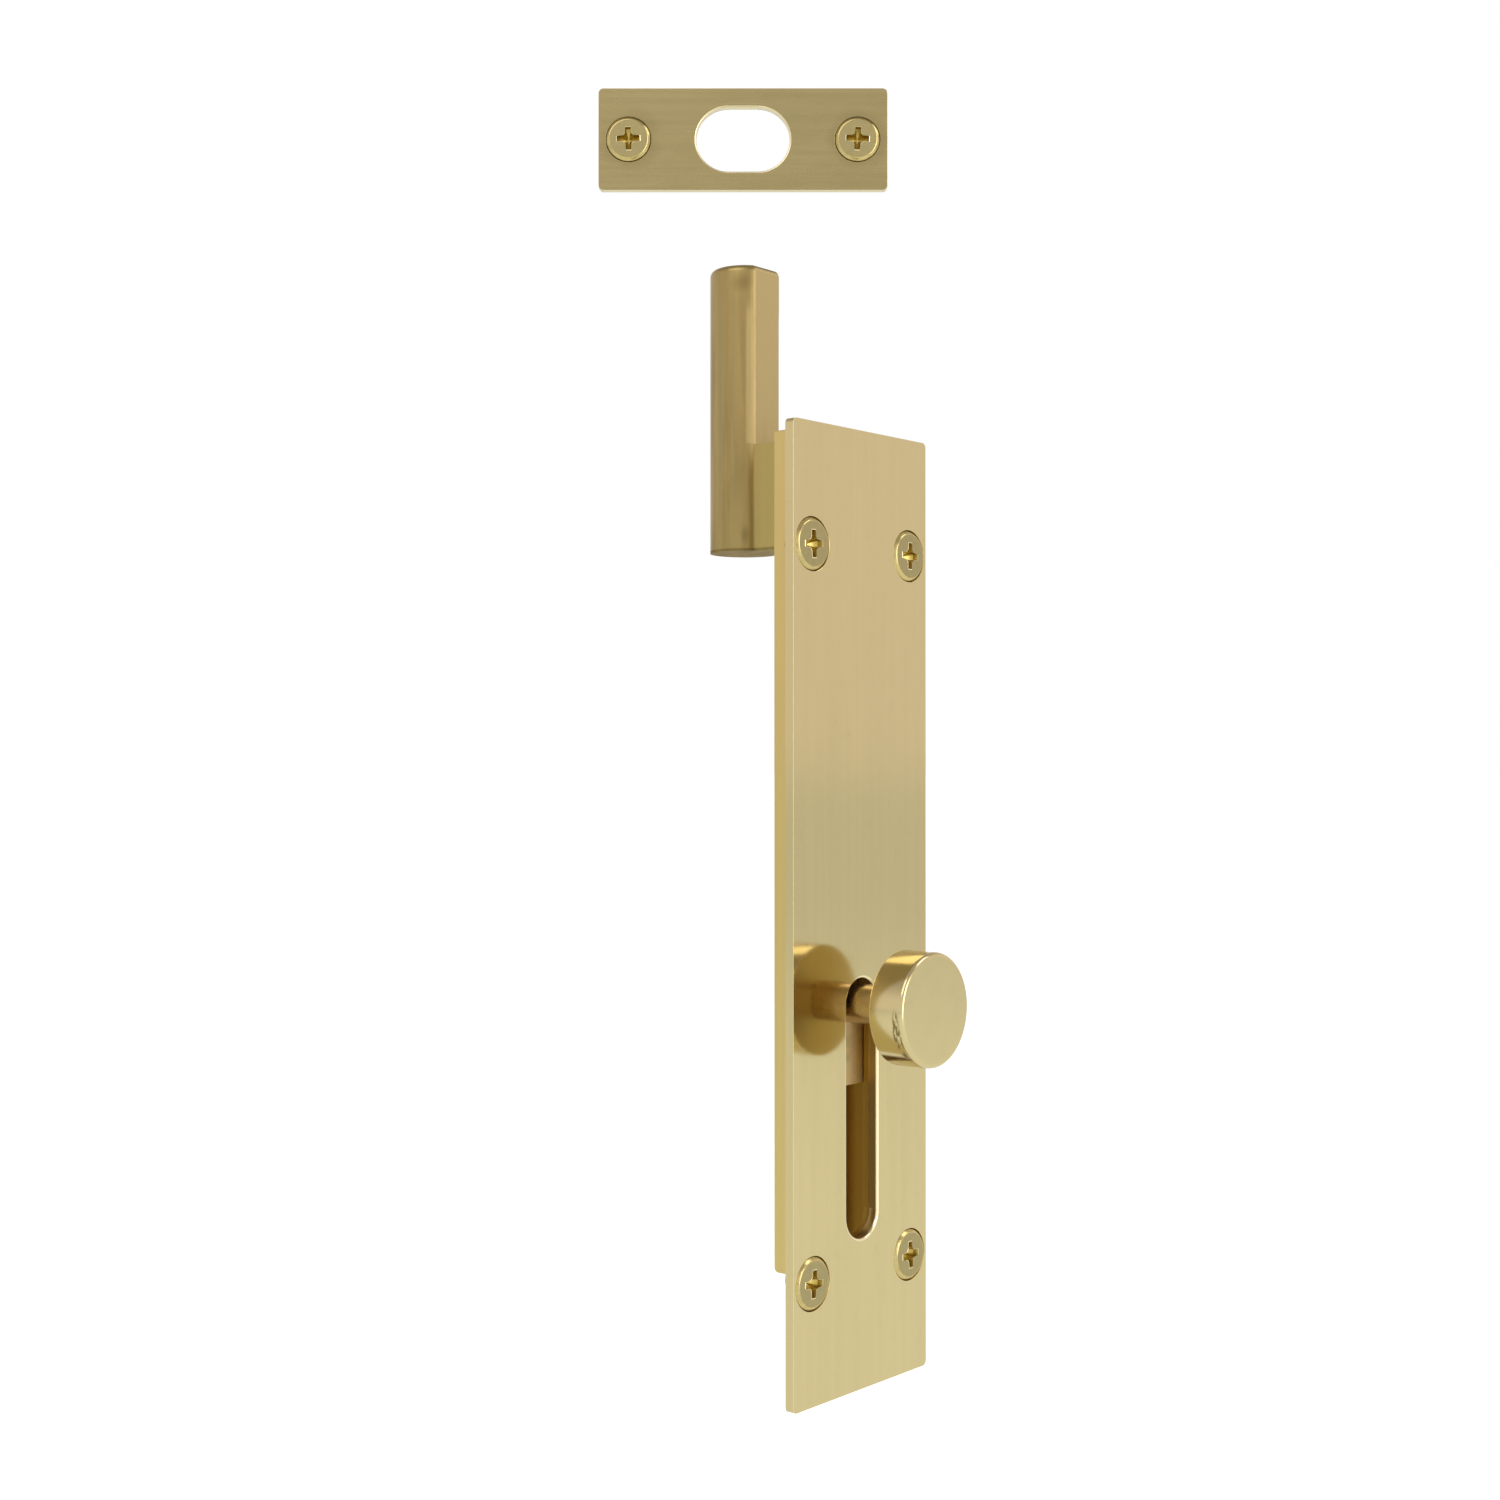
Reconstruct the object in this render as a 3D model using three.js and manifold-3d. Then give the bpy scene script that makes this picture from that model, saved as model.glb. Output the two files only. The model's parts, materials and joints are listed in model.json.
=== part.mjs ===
// Surface bolt for a door: a long face plate with a narrow channel case behind it, a bolt rod that
// a round knob slides up and down, and the separate strike plate that the rod shoots into.
//
// Millimetres, +Z up. The origin is the middle of the face plate's back, which lies on the door:
// +X is to the right seen from the room, +Y goes into the door and the room is at -Y.
// The bolt stands thrown, with its knob near the top of the slot.
import * as THREE from "three";
import { mergeVertices } from "three/addons/utils/BufferGeometryUtils.js";
import Module from "manifold-3d";

// ---- Driving dimensions -------------------------------------------------------------------

// Face plate
const PLATE_HEIGHT = 152.4;
const PLATE_THICKNESS = 1.6;
const PLATE_CORNER = 0.8;
const PLATE_LAND_SPARE = 0.4325; // beside the case, past the diameter of a screw's head
const PLATE_SCREW_MARGIN = 0.6125; // from a screw's head to the plate's side edge
const PLATE_SCREW_INSET = 19.05; // from each end of the plate to a screw's axis
const PLATE_HEAD_PROUD = 0.3;

// Slot that the knob's stem runs in
const SLOT_SPARE = 1.59; // over the stem's diameter
const SLOT_LENGTH = 41.3;
const SLOT_BOTTOM_MARGIN = 23.9; // from the plate's bottom edge

// Channel case
const CASE_WIDTH = 17.46;
const CASE_DEPTH = 9.4;
const CASE_FRONT_WALL = 1.2;
const CASE_SIDE_WALL = 1.6;
const CASE_LIP = 1.6;
const CASE_BOTTOM_MARGIN = 18.4; // from the plate's bottom edge; its top is level with the plate's
const CASE_CORNER = 0.8;

// Slide bar
const BAR_THICKNESS = 3.2;
const BAR_BELOW_STEM = 13.2;
const BAR_TOP_DROP = 1.0; // below the top of the case
const BAR_CHAMFER = 0.5;

// Bolt rod and the neck that carries it
const ROD_RADIUS = 5.73;
const ROD_SETBACK = 22.9; // from the door's face to the rod's axis
const ROD_ABOVE_PLATE = 29.1;
const ROD_TIP_ROUND = 1.1;
const ROD_FOOT_CHAMFER = 0.35;
const NECK_WIDTH = 6;
const NECK_HEIGHT = 17.6;
const NECK_TOP_DROP = 0.5; // below the top of the case
const NECK_FILLET = 1;
const BEVEL_DEPTH = 0.09; // of the shallow cut on each side of the flat
const BEVEL_TURN = 0.76; // radians from the flat
const BEVEL_BELOW_TIP = 6;

// Knob and stem
const STEM_RADIUS = 3.175;
const STEM_TOP_GAP = 0.9; // to the top of the slot
const TENON_RADIUS = 2;
const TENON_IN_KNOB = 4.4;
const KNOB_RADIUS = 9;
const KNOB_THICKNESS = 6.35;
const KNOB_STANDOFF = 7.9; // from the plate's front
const KNOB_ROUND = 0.7;
const KNOB_BACK_CHAMFER = 0.3;
const KNOB_BORE_SPARE = 0.3;

// Countersunk screws with a cross recess, the same six in the plate and in the strike
const SCREW_HEAD_RADIUS = 4.15;
const SCREW_RIM = 0.55; // width and depth of the head's bevelled rim
const SCREW_LAND = 0.1;
const SCREW_BODY_RADIUS = 2.08;
const SCREW_LENGTH = 4.9;
const SCREW_TIP_CHAMFER = 0.5;
const COUNTERSINK_HALF_ANGLE = THREE.MathUtils.degToRad(41);
const RECESS_SPAN = 4.5;
const RECESS_ARM = 1.25;
const RECESS_DEPTH = 1.3;

// Countersunk screws that hold the neck to the bar
const NECK_SCREW_HEAD_RADIUS = 2.7;
const NECK_SCREW_RADIUS = 1.5;
const NECK_SCREW_LENGTH = 9.5;
const NECK_SCREW_INSET = 4.4; // from each end of the neck
const NECK_SCREW_SUNK = 0.1;
const DRIVER_SLOT_WIDTH = 0.6;
const DRIVER_SLOT_DEPTH = 0.7;

// Set screw that locks the stem in the bar
const SET_SCREW_RADIUS = 1;
const SET_SCREW_LENGTH = 5;
const SET_SCREW_GAP = 0.3;
const SET_SCREW_SLOT_WIDTH = 0.3;

// Friction spring and its rivets
const SPRING_SIDE_GAP = 2.13; // from each side of the case's cavity
const SPRING_THICKNESS = 0.4;
const SPRING_FOOT = 14;
const SPRING_BOW = 34;
const SPRING_TAIL = 3;
const SPRING_BELOW_NECK = 10;
const SPRING_STEPS = 16;
const RIVET_RADIUS = 1;
const RIVET_HEAD_RADIUS = 1.9;
const RIVET_HEAD_HEIGHT = 0.8;
const RIVET_INSET = 3.5; // from each end of the spring's foot
const RIVET_SUNK = 0.1;

// Strike plate, and where it stands beside the bolt
const STRIKE_WIDTH = 54;
const STRIKE_HEIGHT = 19.05;
const STRIKE_THICKNESS = 1.6;
const STRIKE_CORNER = 0.9;
const STRIKE_HOLE_HEIGHT_SPARE = 0.54; // over the rod's diameter
const STRIKE_HOLE_LENGTH_SPARE = 6.04; // over the rod's diameter
const STRIKE_SCREW_MARGIN = 1.45; // from a screw's head to the strike's end
const STRIKE_HEAD_PROUD = 0.6;
const STRIKE_ABOVE_ROD = 25; // from the rod's tip to the strike's lower edge
const STRIKE_BESIDE_ROD = 31.1; // from the rod's axis, to the right
const STRIKE_BEHIND_ROD = 26.7; // from the rod's axis, away from the room
const STRIKE_TURN = THREE.MathUtils.degToRad(-50);

// Clearances
const SLIDING_FIT = 0.1; // bar in the case, front and back
const SIDE_FIT = 0.13; // bar in the case, each side
const NECK_FIT = 0.15; // neck between the lips, each side
const SCREW_FIT = 0.08; // screws, rivets and tenons in their holes
const SPRING_FIT = 0.1;

// ---- Derived places -----------------------------------------------------------------------

const plateTop = PLATE_HEIGHT / 2;
const plateBottom = -plateTop;
const plateFront = -PLATE_THICKNESS;
const plateHalfWidth = CASE_WIDTH / 2 + 2 * SCREW_HEAD_RADIUS + PLATE_LAND_SPARE;
const plateScrewX = plateHalfWidth - PLATE_SCREW_MARGIN - SCREW_HEAD_RADIUS;
const plateScrewZ = plateTop - PLATE_SCREW_INSET;

const slotWidth = 2 * STEM_RADIUS + SLOT_SPARE;
const slotBottom = plateBottom + SLOT_BOTTOM_MARGIN;
const slotTop = slotBottom + SLOT_LENGTH;
const stemZ = slotTop - STEM_TOP_GAP - STEM_RADIUS;

const caseBottom = plateBottom + CASE_BOTTOM_MARGIN;
const caseTop = plateTop;
const cavityHalfWidth = CASE_WIDTH / 2 - CASE_SIDE_WALL;
const cavityBack = CASE_DEPTH - CASE_LIP;
const lipGapHalf = NECK_WIDTH / 2 + NECK_FIT;

const barFront = CASE_FRONT_WALL + SLIDING_FIT;
const barBack = barFront + BAR_THICKNESS;
const barHalfWidth = cavityHalfWidth - SIDE_FIT;
const barBottom = stemZ - BAR_BELOW_STEM;
const barTop = caseTop - BAR_TOP_DROP;

const rodTip = plateTop + ROD_ABOVE_PLATE;
const neckTop = caseTop - NECK_TOP_DROP;
const neckBottom = neckTop - NECK_HEIGHT;
const neckScrewZ = [neckBottom + NECK_SCREW_INSET, neckTop - NECK_SCREW_INSET];
const flatFromAxis = Math.sqrt(ROD_RADIUS ** 2 - (NECK_WIDTH / 2) ** 2); // as wide as the neck

const knobBack = plateFront - KNOB_STANDOFF;
const knobFront = knobBack - KNOB_THICKNESS;

const springWidth = 2 * (cavityHalfWidth - SPRING_SIDE_GAP);
const springTop = neckBottom - SPRING_BELOW_NECK;
const springFootEnd = springTop - SPRING_FOOT;
const rivetZ = [springFootEnd + RIVET_INSET, springTop - RIVET_INSET];

const strikeHoleHeight = 2 * ROD_RADIUS + STRIKE_HOLE_HEIGHT_SPARE;
const strikeHoleLength = 2 * ROD_RADIUS + STRIKE_HOLE_LENGTH_SPARE;
const strikeScrewX = STRIKE_WIDTH / 2 - STRIKE_SCREW_MARGIN - SCREW_HEAD_RADIUS;

const ROUND_STEPS = 48;
const SCREW_STEPS = 28;
const SMALL_STEPS = 20;
const END_STEPS = 12; // round a slot's end
const CORNER_STEPS = 6;
const EDGE_STEPS = 5;
const CUT_PAST = 1; // how far a cutting tool runs past a face

// ---- Finishes -----------------------------------------------------------------------------

function finish(color, roughness, metalness = 1) {
  return new THREE.MeshStandardMaterial({ color, roughness, metalness });
}

const polishedBrass = () => finish(0xd2c18e, 0.16);
const brushedBrass = () => finish(0xae9f68, 0.42);
const agedBrass = () => finish(0xa8925a, 0.5);
const screwBrass = () => finish(0xb0a277, 0.35);
const springSteel = () => finish(0x8d8f92, 0.4);

// ---- Solids -------------------------------------------------------------------------------

const wasm = await Module();
wasm.setup();

// A closed three.js geometry as a solid that can be joined and cut.
function solid(geometry) {
  const bare = geometry.clone();
  bare.deleteAttribute("normal");
  bare.deleteAttribute("uv");
  const merged = mergeVertices(bare, 1e-4);
  return new wasm.Manifold(
    new wasm.Mesh({
      numProp: 3,
      vertProperties: merged.attributes.position.array,
      triVerts: new Uint32Array(merged.index.array),
    }),
  );
}

function piece(name, body, material) {
  const made = body.getMesh();
  const geometry = new THREE.BufferGeometry();
  geometry.setAttribute("position", new THREE.BufferAttribute(made.vertProperties, 3));
  geometry.setIndex(new THREE.BufferAttribute(made.triVerts, 1));
  geometry.computeVertexNormals();
  const mesh = new THREE.Mesh(geometry, material);
  mesh.name = name;
  return mesh;
}

// An outline in X and Y, raised along Z from low to high.
function raised(shape, low, high, curveSegments = END_STEPS) {
  const geometry = new THREE.ExtrudeGeometry(shape, {
    depth: high - low,
    bevelEnabled: false,
    curveSegments,
  });
  return solid(geometry.translate(0, 0, low));
}

// An outline in X and Z, given a thickness along Y from front to back.
function slab(shape, front, back, curveSegments = END_STEPS) {
  const geometry = new THREE.ExtrudeGeometry(shape, {
    depth: back - front,
    bevelEnabled: false,
    curveSegments,
  });
  return solid(geometry.rotateX(Math.PI / 2).translate(0, back, 0));
}

// An outline in Y and Z, given a width along X, centred.
function across(shape, width, curveSegments = END_STEPS) {
  const geometry = new THREE.ExtrudeGeometry(shape, {
    depth: width,
    bevelEnabled: false,
    curveSegments,
  });
  const axes = new THREE.Matrix4().makeBasis(
    new THREE.Vector3(0, 1, 0),
    new THREE.Vector3(0, 0, 1),
    new THREE.Vector3(1, 0, 0),
  );
  return solid(geometry.applyMatrix4(axes).translate(-width / 2, 0, 0));
}

// A profile of [radius, y] pairs, front to back, turned about an axis along Y through (x, z).
function turned(profile, x, z, steps) {
  const points = profile.map(([radius, y]) => new THREE.Vector2(radius, y));
  return solid(new THREE.LatheGeometry(points, steps).translate(x, 0, z));
}

// A profile of [radius, z] pairs, bottom to top, turned about an upright axis through (x, y).
function turnedUpright(profile, x, y, steps) {
  const points = profile.map(([radius, z]) => new THREE.Vector2(radius, z));
  return solid(new THREE.LatheGeometry(points, steps).rotateX(Math.PI / 2).translate(x, y, 0));
}

function drill(radius, front, back, x, z, steps = SMALL_STEPS) {
  return turned([[0, front], [radius, front], [radius, back], [0, back]], x, z, steps);
}

function block(low, high) {
  const size = high.map((value, i) => value - low[i]);
  const middle = high.map((value, i) => (value + low[i]) / 2);
  return solid(new THREE.BoxGeometry(...size).translate(...middle));
}

function arcPoints(centreX, centreY, radius, from, to, steps) {
  return Array.from({ length: steps + 1 }, (_, i) => {
    const angle = from + ((to - from) * i) / steps;
    return [centreX + radius * Math.cos(angle), centreY + radius * Math.sin(angle)];
  });
}

// ---- Outlines -----------------------------------------------------------------------------

function polygon(corners) {
  return new THREE.Shape(corners.map(([x, y]) => new THREE.Vector2(x, y)));
}

function roundedRectangle(width, height, corner) {
  const x = width / 2 - corner;
  const y = height / 2 - corner;
  const shape = new THREE.Shape();
  shape.absarc(x, y, corner, 0, Math.PI / 2, false);
  shape.absarc(-x, y, corner, Math.PI / 2, Math.PI, false);
  shape.absarc(-x, -y, corner, Math.PI, 1.5 * Math.PI, false);
  shape.absarc(x, -y, corner, 1.5 * Math.PI, 2 * Math.PI, false);
  return shape;
}

// A slot with round ends; it stands upright unless it is longer across than up.
function obround(width, height, middleX, middleY) {
  const radius = Math.min(width, height) / 2;
  const reachX = width / 2 - radius;
  const reachY = height / 2 - radius;
  const start = reachX > 0 ? -Math.PI / 2 : 0;
  const shape = new THREE.Shape();
  shape.absarc(middleX + reachX, middleY + reachY, radius, start, start + Math.PI, false);
  shape.absarc(middleX - reachX, middleY - reachY, radius, start + Math.PI, start + 2 * Math.PI, false);
  return shape;
}

function crossOutline(span, arm) {
  const far = span / 2;
  const near = arm / 2;
  return polygon([
    [far, near], [near, near], [near, far], [-near, far], [-near, near], [-far, near],
    [-far, -near], [-near, -near], [-near, -far], [near, -far], [near, -near], [far, -near],
  ]);
}

// ---- Screws -------------------------------------------------------------------------------

// How far behind the head's face the head is widest, and where its cone meets the body.
const headWidest = SCREW_RIM + SCREW_LAND;
const coneLength = (SCREW_HEAD_RADIUS - SCREW_BODY_RADIUS) / Math.tan(COUNTERSINK_HALF_ANGLE);

// The head's face is at y = face, and the screw points towards +Y.
function faceScrew(name, face, x, z) {
  const widest = face + headWidest;
  const tip = face + SCREW_LENGTH;
  const body = turned(
    [
      [0, face],
      [SCREW_HEAD_RADIUS - SCREW_RIM, face],
      [SCREW_HEAD_RADIUS, face + SCREW_RIM],
      [SCREW_HEAD_RADIUS, widest],
      [SCREW_BODY_RADIUS, widest + coneLength],
      [SCREW_BODY_RADIUS, tip - SCREW_TIP_CHAMFER],
      [SCREW_BODY_RADIUS - SCREW_TIP_CHAMFER, tip],
      [0, tip],
    ],
    x,
    z,
    SCREW_STEPS,
  );
  const recess = slab(crossOutline(RECESS_SPAN, RECESS_ARM), face - CUT_PAST, face + RECESS_DEPTH);
  return piece(name, body.subtract(recess.translate([x, 0, z])), screwBrass());
}

// The hole that such a screw sits in: its cone, carried on past the head's face, and its bore.
function countersink(face, x, z) {
  const widest = face + headWidest;
  const mouth = face - CUT_PAST;
  const end = face + SCREW_LENGTH + CUT_PAST;
  const mouthRadius = SCREW_HEAD_RADIUS + (widest - mouth) * Math.tan(COUNTERSINK_HALF_ANGLE);
  return turned(
    [
      [0, mouth],
      [mouthRadius + SCREW_FIT, mouth],
      [SCREW_BODY_RADIUS + SCREW_FIT, widest + coneLength],
      [SCREW_BODY_RADIUS + SCREW_FIT, end],
      [0, end],
    ],
    x,
    z,
    SCREW_STEPS,
  );
}

// ---- Face plate ---------------------------------------------------------------------------

const slotOutline = () => obround(slotWidth, SLOT_LENGTH, 0, (slotTop + slotBottom) / 2);
const plateHeadFace = plateFront - PLATE_HEAD_PROUD;
const plateScrewPlaces = [
  ["upper_left", -plateScrewX, plateScrewZ],
  ["upper_right", plateScrewX, plateScrewZ],
  ["lower_left", -plateScrewX, -plateScrewZ],
  ["lower_right", plateScrewX, -plateScrewZ],
];

function frontPlate() {
  const outline = roundedRectangle(2 * plateHalfWidth, PLATE_HEIGHT, PLATE_CORNER);
  let body = slab(outline, plateFront, 0, CORNER_STEPS);
  body = body.subtract(slab(slotOutline(), plateFront - CUT_PAST, CUT_PAST));
  for (const [, x, z] of plateScrewPlaces) {
    body = body.subtract(countersink(plateHeadFace, x, z));
  }
  return piece("front_plate", body, polishedBrass());
}

function plateScrews() {
  return plateScrewPlaces.map(([place, x, z]) =>
    faceScrew("plate_screw_" + place, plateHeadFace, x, z),
  );
}

// ---- Case ---------------------------------------------------------------------------------

// A C-shaped extrusion: a slotted front wall on the plate, two sides, and two lips at the back
// that leave a gap for the neck along its whole length.
function boltCase() {
  const half = CASE_WIDTH / 2;
  const section = polygon([
    [-half, 0], [half, 0], [half, CASE_DEPTH], [lipGapHalf, CASE_DEPTH],
    [lipGapHalf, cavityBack], [cavityHalfWidth, cavityBack],
    [cavityHalfWidth, CASE_FRONT_WALL], [-cavityHalfWidth, CASE_FRONT_WALL],
    [-cavityHalfWidth, cavityBack], [-lipGapHalf, cavityBack],
    [-lipGapHalf, CASE_DEPTH], [-half, CASE_DEPTH],
  ]);
  const side = new THREE.Shape();
  side.moveTo(-CUT_PAST, caseTop);
  side.lineTo(-CUT_PAST, caseBottom);
  side.absarc(CASE_DEPTH - CASE_CORNER, caseBottom + CASE_CORNER, CASE_CORNER, -Math.PI / 2, 0, false);
  side.lineTo(CASE_DEPTH, caseTop);
  const body = raised(section, caseBottom, caseTop)
    .intersect(across(side, CASE_WIDTH + 2 * CUT_PAST, CORNER_STEPS))
    .subtract(slab(slotOutline(), -CUT_PAST, CASE_FRONT_WALL + SLIDING_FIT));
  return piece("bolt_case", body, polishedBrass());
}

// ---- Slide bar ----------------------------------------------------------------------------

function slideBar() {
  const x = barHalfWidth;
  const c = BAR_CHAMFER;
  const outline = polygon([
    [x - c, barBottom], [x, barBottom + c], [x, barTop - c], [x - c, barTop],
    [c - x, barTop], [-x, barTop - c], [-x, barBottom + c], [c - x, barBottom],
  ]);
  let body = slab(outline, barFront, barBack);
  const through = [barFront - CUT_PAST, barBack + CUT_PAST];
  body = body.subtract(drill(TENON_RADIUS + SCREW_FIT, ...through, 0, stemZ));
  for (const z of rivetZ) body = body.subtract(drill(RIVET_RADIUS + SCREW_FIT, ...through, 0, z));
  for (const z of neckScrewZ) body = body.subtract(neckScrewHole(z));
  const bore = turnedUpright(
    [
      [0, barBottom - CUT_PAST],
      [SET_SCREW_RADIUS + SCREW_FIT, barBottom - CUT_PAST],
      [SET_SCREW_RADIUS + SCREW_FIT, stemZ],
      [0, stemZ],
    ],
    0,
    (barFront + barBack) / 2,
    SMALL_STEPS,
  );
  return piece("slide_bar", body.subtract(bore), brushedBrass());
}

function neckScrewHole(z) {
  const radius = NECK_SCREW_RADIUS + SCREW_FIT;
  const head = NECK_SCREW_HEAD_RADIUS + SCREW_FIT;
  const face = barFront + NECK_SCREW_SUNK;
  return turned(
    [
      [0, barFront - CUT_PAST],
      [head, barFront - CUT_PAST],
      [head, face],
      [radius, face + head - radius],
      [radius, barBack + CUT_PAST],
      [0, barBack + CUT_PAST],
    ],
    0,
    z,
    SMALL_STEPS,
  );
}

function neckScrews() {
  const face = barFront + NECK_SCREW_SUNK;
  const tip = face + NECK_SCREW_LENGTH;
  return neckScrewZ.map((z, i) => {
    const body = turned(
      [
        [0, face],
        [NECK_SCREW_HEAD_RADIUS, face],
        [NECK_SCREW_RADIUS, face + NECK_SCREW_HEAD_RADIUS - NECK_SCREW_RADIUS],
        [NECK_SCREW_RADIUS, tip],
        [0, tip],
      ],
      0,
      z,
      SMALL_STEPS,
    );
    const slot = block(
      [-NECK_SCREW_HEAD_RADIUS - CUT_PAST, face - CUT_PAST, z - DRIVER_SLOT_WIDTH / 2],
      [NECK_SCREW_HEAD_RADIUS + CUT_PAST, face + DRIVER_SLOT_DEPTH, z + DRIVER_SLOT_WIDTH / 2],
    );
    return piece(["neck_screw_lower", "neck_screw_upper"][i], body.subtract(slot), screwBrass());
  });
}

// ---- Bolt rod -----------------------------------------------------------------------------

// The neck's section: its web from the bar to the rod, with a fillet into the rod on each side.
function neckSection() {
  const half = NECK_WIDTH / 2;
  const filletX = half + NECK_FILLET;
  const filletY = ROD_SETBACK - Math.sqrt((ROD_RADIUS + NECK_FILLET) ** 2 - filletX ** 2);
  const reach = Math.atan2(ROD_SETBACK - filletY, filletX);
  const left = arcPoints(-filletX, filletY, NECK_FILLET, 0, reach, CORNER_STEPS);
  const right = left.map(([x, y]) => [-x, y]);
  return polygon([
    [half, barBack], ...right, [0, ROD_SETBACK], ...left.reverse(), [-half, barBack],
  ]);
}

function boltRod() {
  const round = ROD_TIP_ROUND;
  const tip = arcPoints(ROD_RADIUS - round, rodTip - round, round, 0, Math.PI / 2, EDGE_STEPS);
  const rod = turnedUpright(
    [
      [0, neckBottom],
      [ROD_RADIUS - ROD_FOOT_CHAMFER, neckBottom],
      [ROD_RADIUS, neckBottom + ROD_FOOT_CHAMFER],
      ...tip,
      [0, rodTip],
    ],
    0,
    ROD_SETBACK,
    ROUND_STEPS,
  );
  let body = rod.add(raised(neckSection(), neckBottom, neckTop));
  const wide = 2 * ROD_RADIUS;
  const past = rodTip + CUT_PAST;
  const flat = block([-wide, 0, neckTop], [wide, ROD_SETBACK - flatFromAxis, past]);
  body = body.subtract(flat);
  for (const side of [-1, 1]) {
    const bevel = new THREE.BoxGeometry(wide, wide, rodTip - BEVEL_BELOW_TIP - neckTop)
      .translate(0, BEVEL_DEPTH - ROD_RADIUS - wide / 2, (rodTip - BEVEL_BELOW_TIP + neckTop) / 2)
      .rotateZ(side * BEVEL_TURN)
      .translate(0, ROD_SETBACK, 0);
    body = body.subtract(solid(bevel));
  }
  for (const z of neckScrewZ) {
    const depth = barFront + NECK_SCREW_SUNK + NECK_SCREW_LENGTH + CUT_PAST;
    body = body.subtract(drill(NECK_SCREW_RADIUS + SCREW_FIT, barBack - CUT_PAST, depth, 0, z));
  }
  return piece("bolt_rod", body, agedBrass());
}

// ---- Knob ---------------------------------------------------------------------------------

function knob() {
  const bore = TENON_RADIUS + SCREW_FIT;
  const boreEnd = knobBack - TENON_IN_KNOB - KNOB_BORE_SPARE;
  const round = KNOB_ROUND;
  const edge = arcPoints(KNOB_RADIUS - round, knobFront + round, round, -Math.PI / 2, 0, EDGE_STEPS);
  const body = turned(
    [
      [0, knobFront],
      ...edge,
      [KNOB_RADIUS, knobBack - KNOB_BACK_CHAMFER],
      [KNOB_RADIUS - KNOB_BACK_CHAMFER, knobBack],
      [bore, knobBack],
      [bore, boreEnd],
      [0, boreEnd],
    ],
    0,
    stemZ,
    ROUND_STEPS,
  );
  return piece("knob", body, polishedBrass());
}

function knobStem() {
  const body = turned(
    [
      [0, knobBack - TENON_IN_KNOB],
      [TENON_RADIUS, knobBack - TENON_IN_KNOB],
      [TENON_RADIUS, knobBack],
      [STEM_RADIUS, knobBack],
      [STEM_RADIUS, barFront],
      [TENON_RADIUS, barFront],
      [TENON_RADIUS, barBack],
      [0, barBack],
    ],
    0,
    stemZ,
    ROUND_STEPS,
  );
  return piece("knob_stem", body, brushedBrass());
}

function stemSetScrew() {
  const top = stemZ - TENON_RADIUS - SET_SCREW_GAP;
  const bottom = top - SET_SCREW_LENGTH;
  const middle = (barFront + barBack) / 2;
  const body = turnedUpright(
    [[0, bottom], [SET_SCREW_RADIUS, bottom], [SET_SCREW_RADIUS, top], [0, top]],
    0,
    middle,
    SMALL_STEPS,
  );
  const slot = block(
    [-SET_SCREW_RADIUS - CUT_PAST, middle - SET_SCREW_SLOT_WIDTH / 2, bottom - CUT_PAST],
    [SET_SCREW_RADIUS + CUT_PAST, middle + SET_SCREW_SLOT_WIDTH / 2, bottom + DRIVER_SLOT_DEPTH],
  );
  return piece("stem_set_screw", body.subtract(slot), springSteel());
}

// ---- Friction spring ----------------------------------------------------------------------

// A bowed leaf: its foot is riveted to the bar and its middle bears on the lips of the case.
function frictionSpring() {
  const rise = cavityBack - SPRING_FIT - SPRING_THICKNESS - barBack;
  const near = [[barBack, springTop], [barBack, springFootEnd]];
  for (let i = 1; i <= SPRING_STEPS; i++) {
    const share = i / SPRING_STEPS;
    const lift = (rise * (1 - Math.cos(2 * Math.PI * share))) / 2;
    near.push([barBack + Math.max(lift, SPRING_FIT), springFootEnd - SPRING_BOW * share]);
  }
  near.push([barBack + SPRING_FIT, springFootEnd - SPRING_BOW - SPRING_TAIL]);
  const far = near.map(([y, z]) => [y + SPRING_THICKNESS, z]).reverse();
  let body = across(polygon([...near, ...far]), springWidth);
  for (const z of rivetZ) {
    body = body.subtract(drill(RIVET_RADIUS + SCREW_FIT, barFront, barBack + CUT_PAST, 0, z));
  }
  return piece("friction_spring", body, springSteel());
}

function springRivets() {
  const seat = barBack + SPRING_THICKNESS;
  const crown = (RIVET_HEAD_RADIUS ** 2 + RIVET_HEAD_HEIGHT ** 2) / (2 * RIVET_HEAD_HEIGHT);
  const start = Math.acos(RIVET_HEAD_RADIUS / crown);
  const centre = seat + RIVET_HEAD_HEIGHT - crown;
  const dome = arcPoints(0, centre, crown, start, Math.PI / 2, EDGE_STEPS).slice(1, -1);
  return rivetZ.map((z, i) => {
    const body = turned(
      [
        [0, barFront + RIVET_SUNK],
        [RIVET_RADIUS, barFront + RIVET_SUNK],
        [RIVET_RADIUS, seat],
        [RIVET_HEAD_RADIUS, seat],
        ...dome,
        [0, seat + RIVET_HEAD_HEIGHT],
      ],
      0,
      z,
      SMALL_STEPS,
    );
    return piece(["spring_rivet_lower", "spring_rivet_upper"][i], body, screwBrass());
  });
}

// ---- Strike -------------------------------------------------------------------------------

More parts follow.
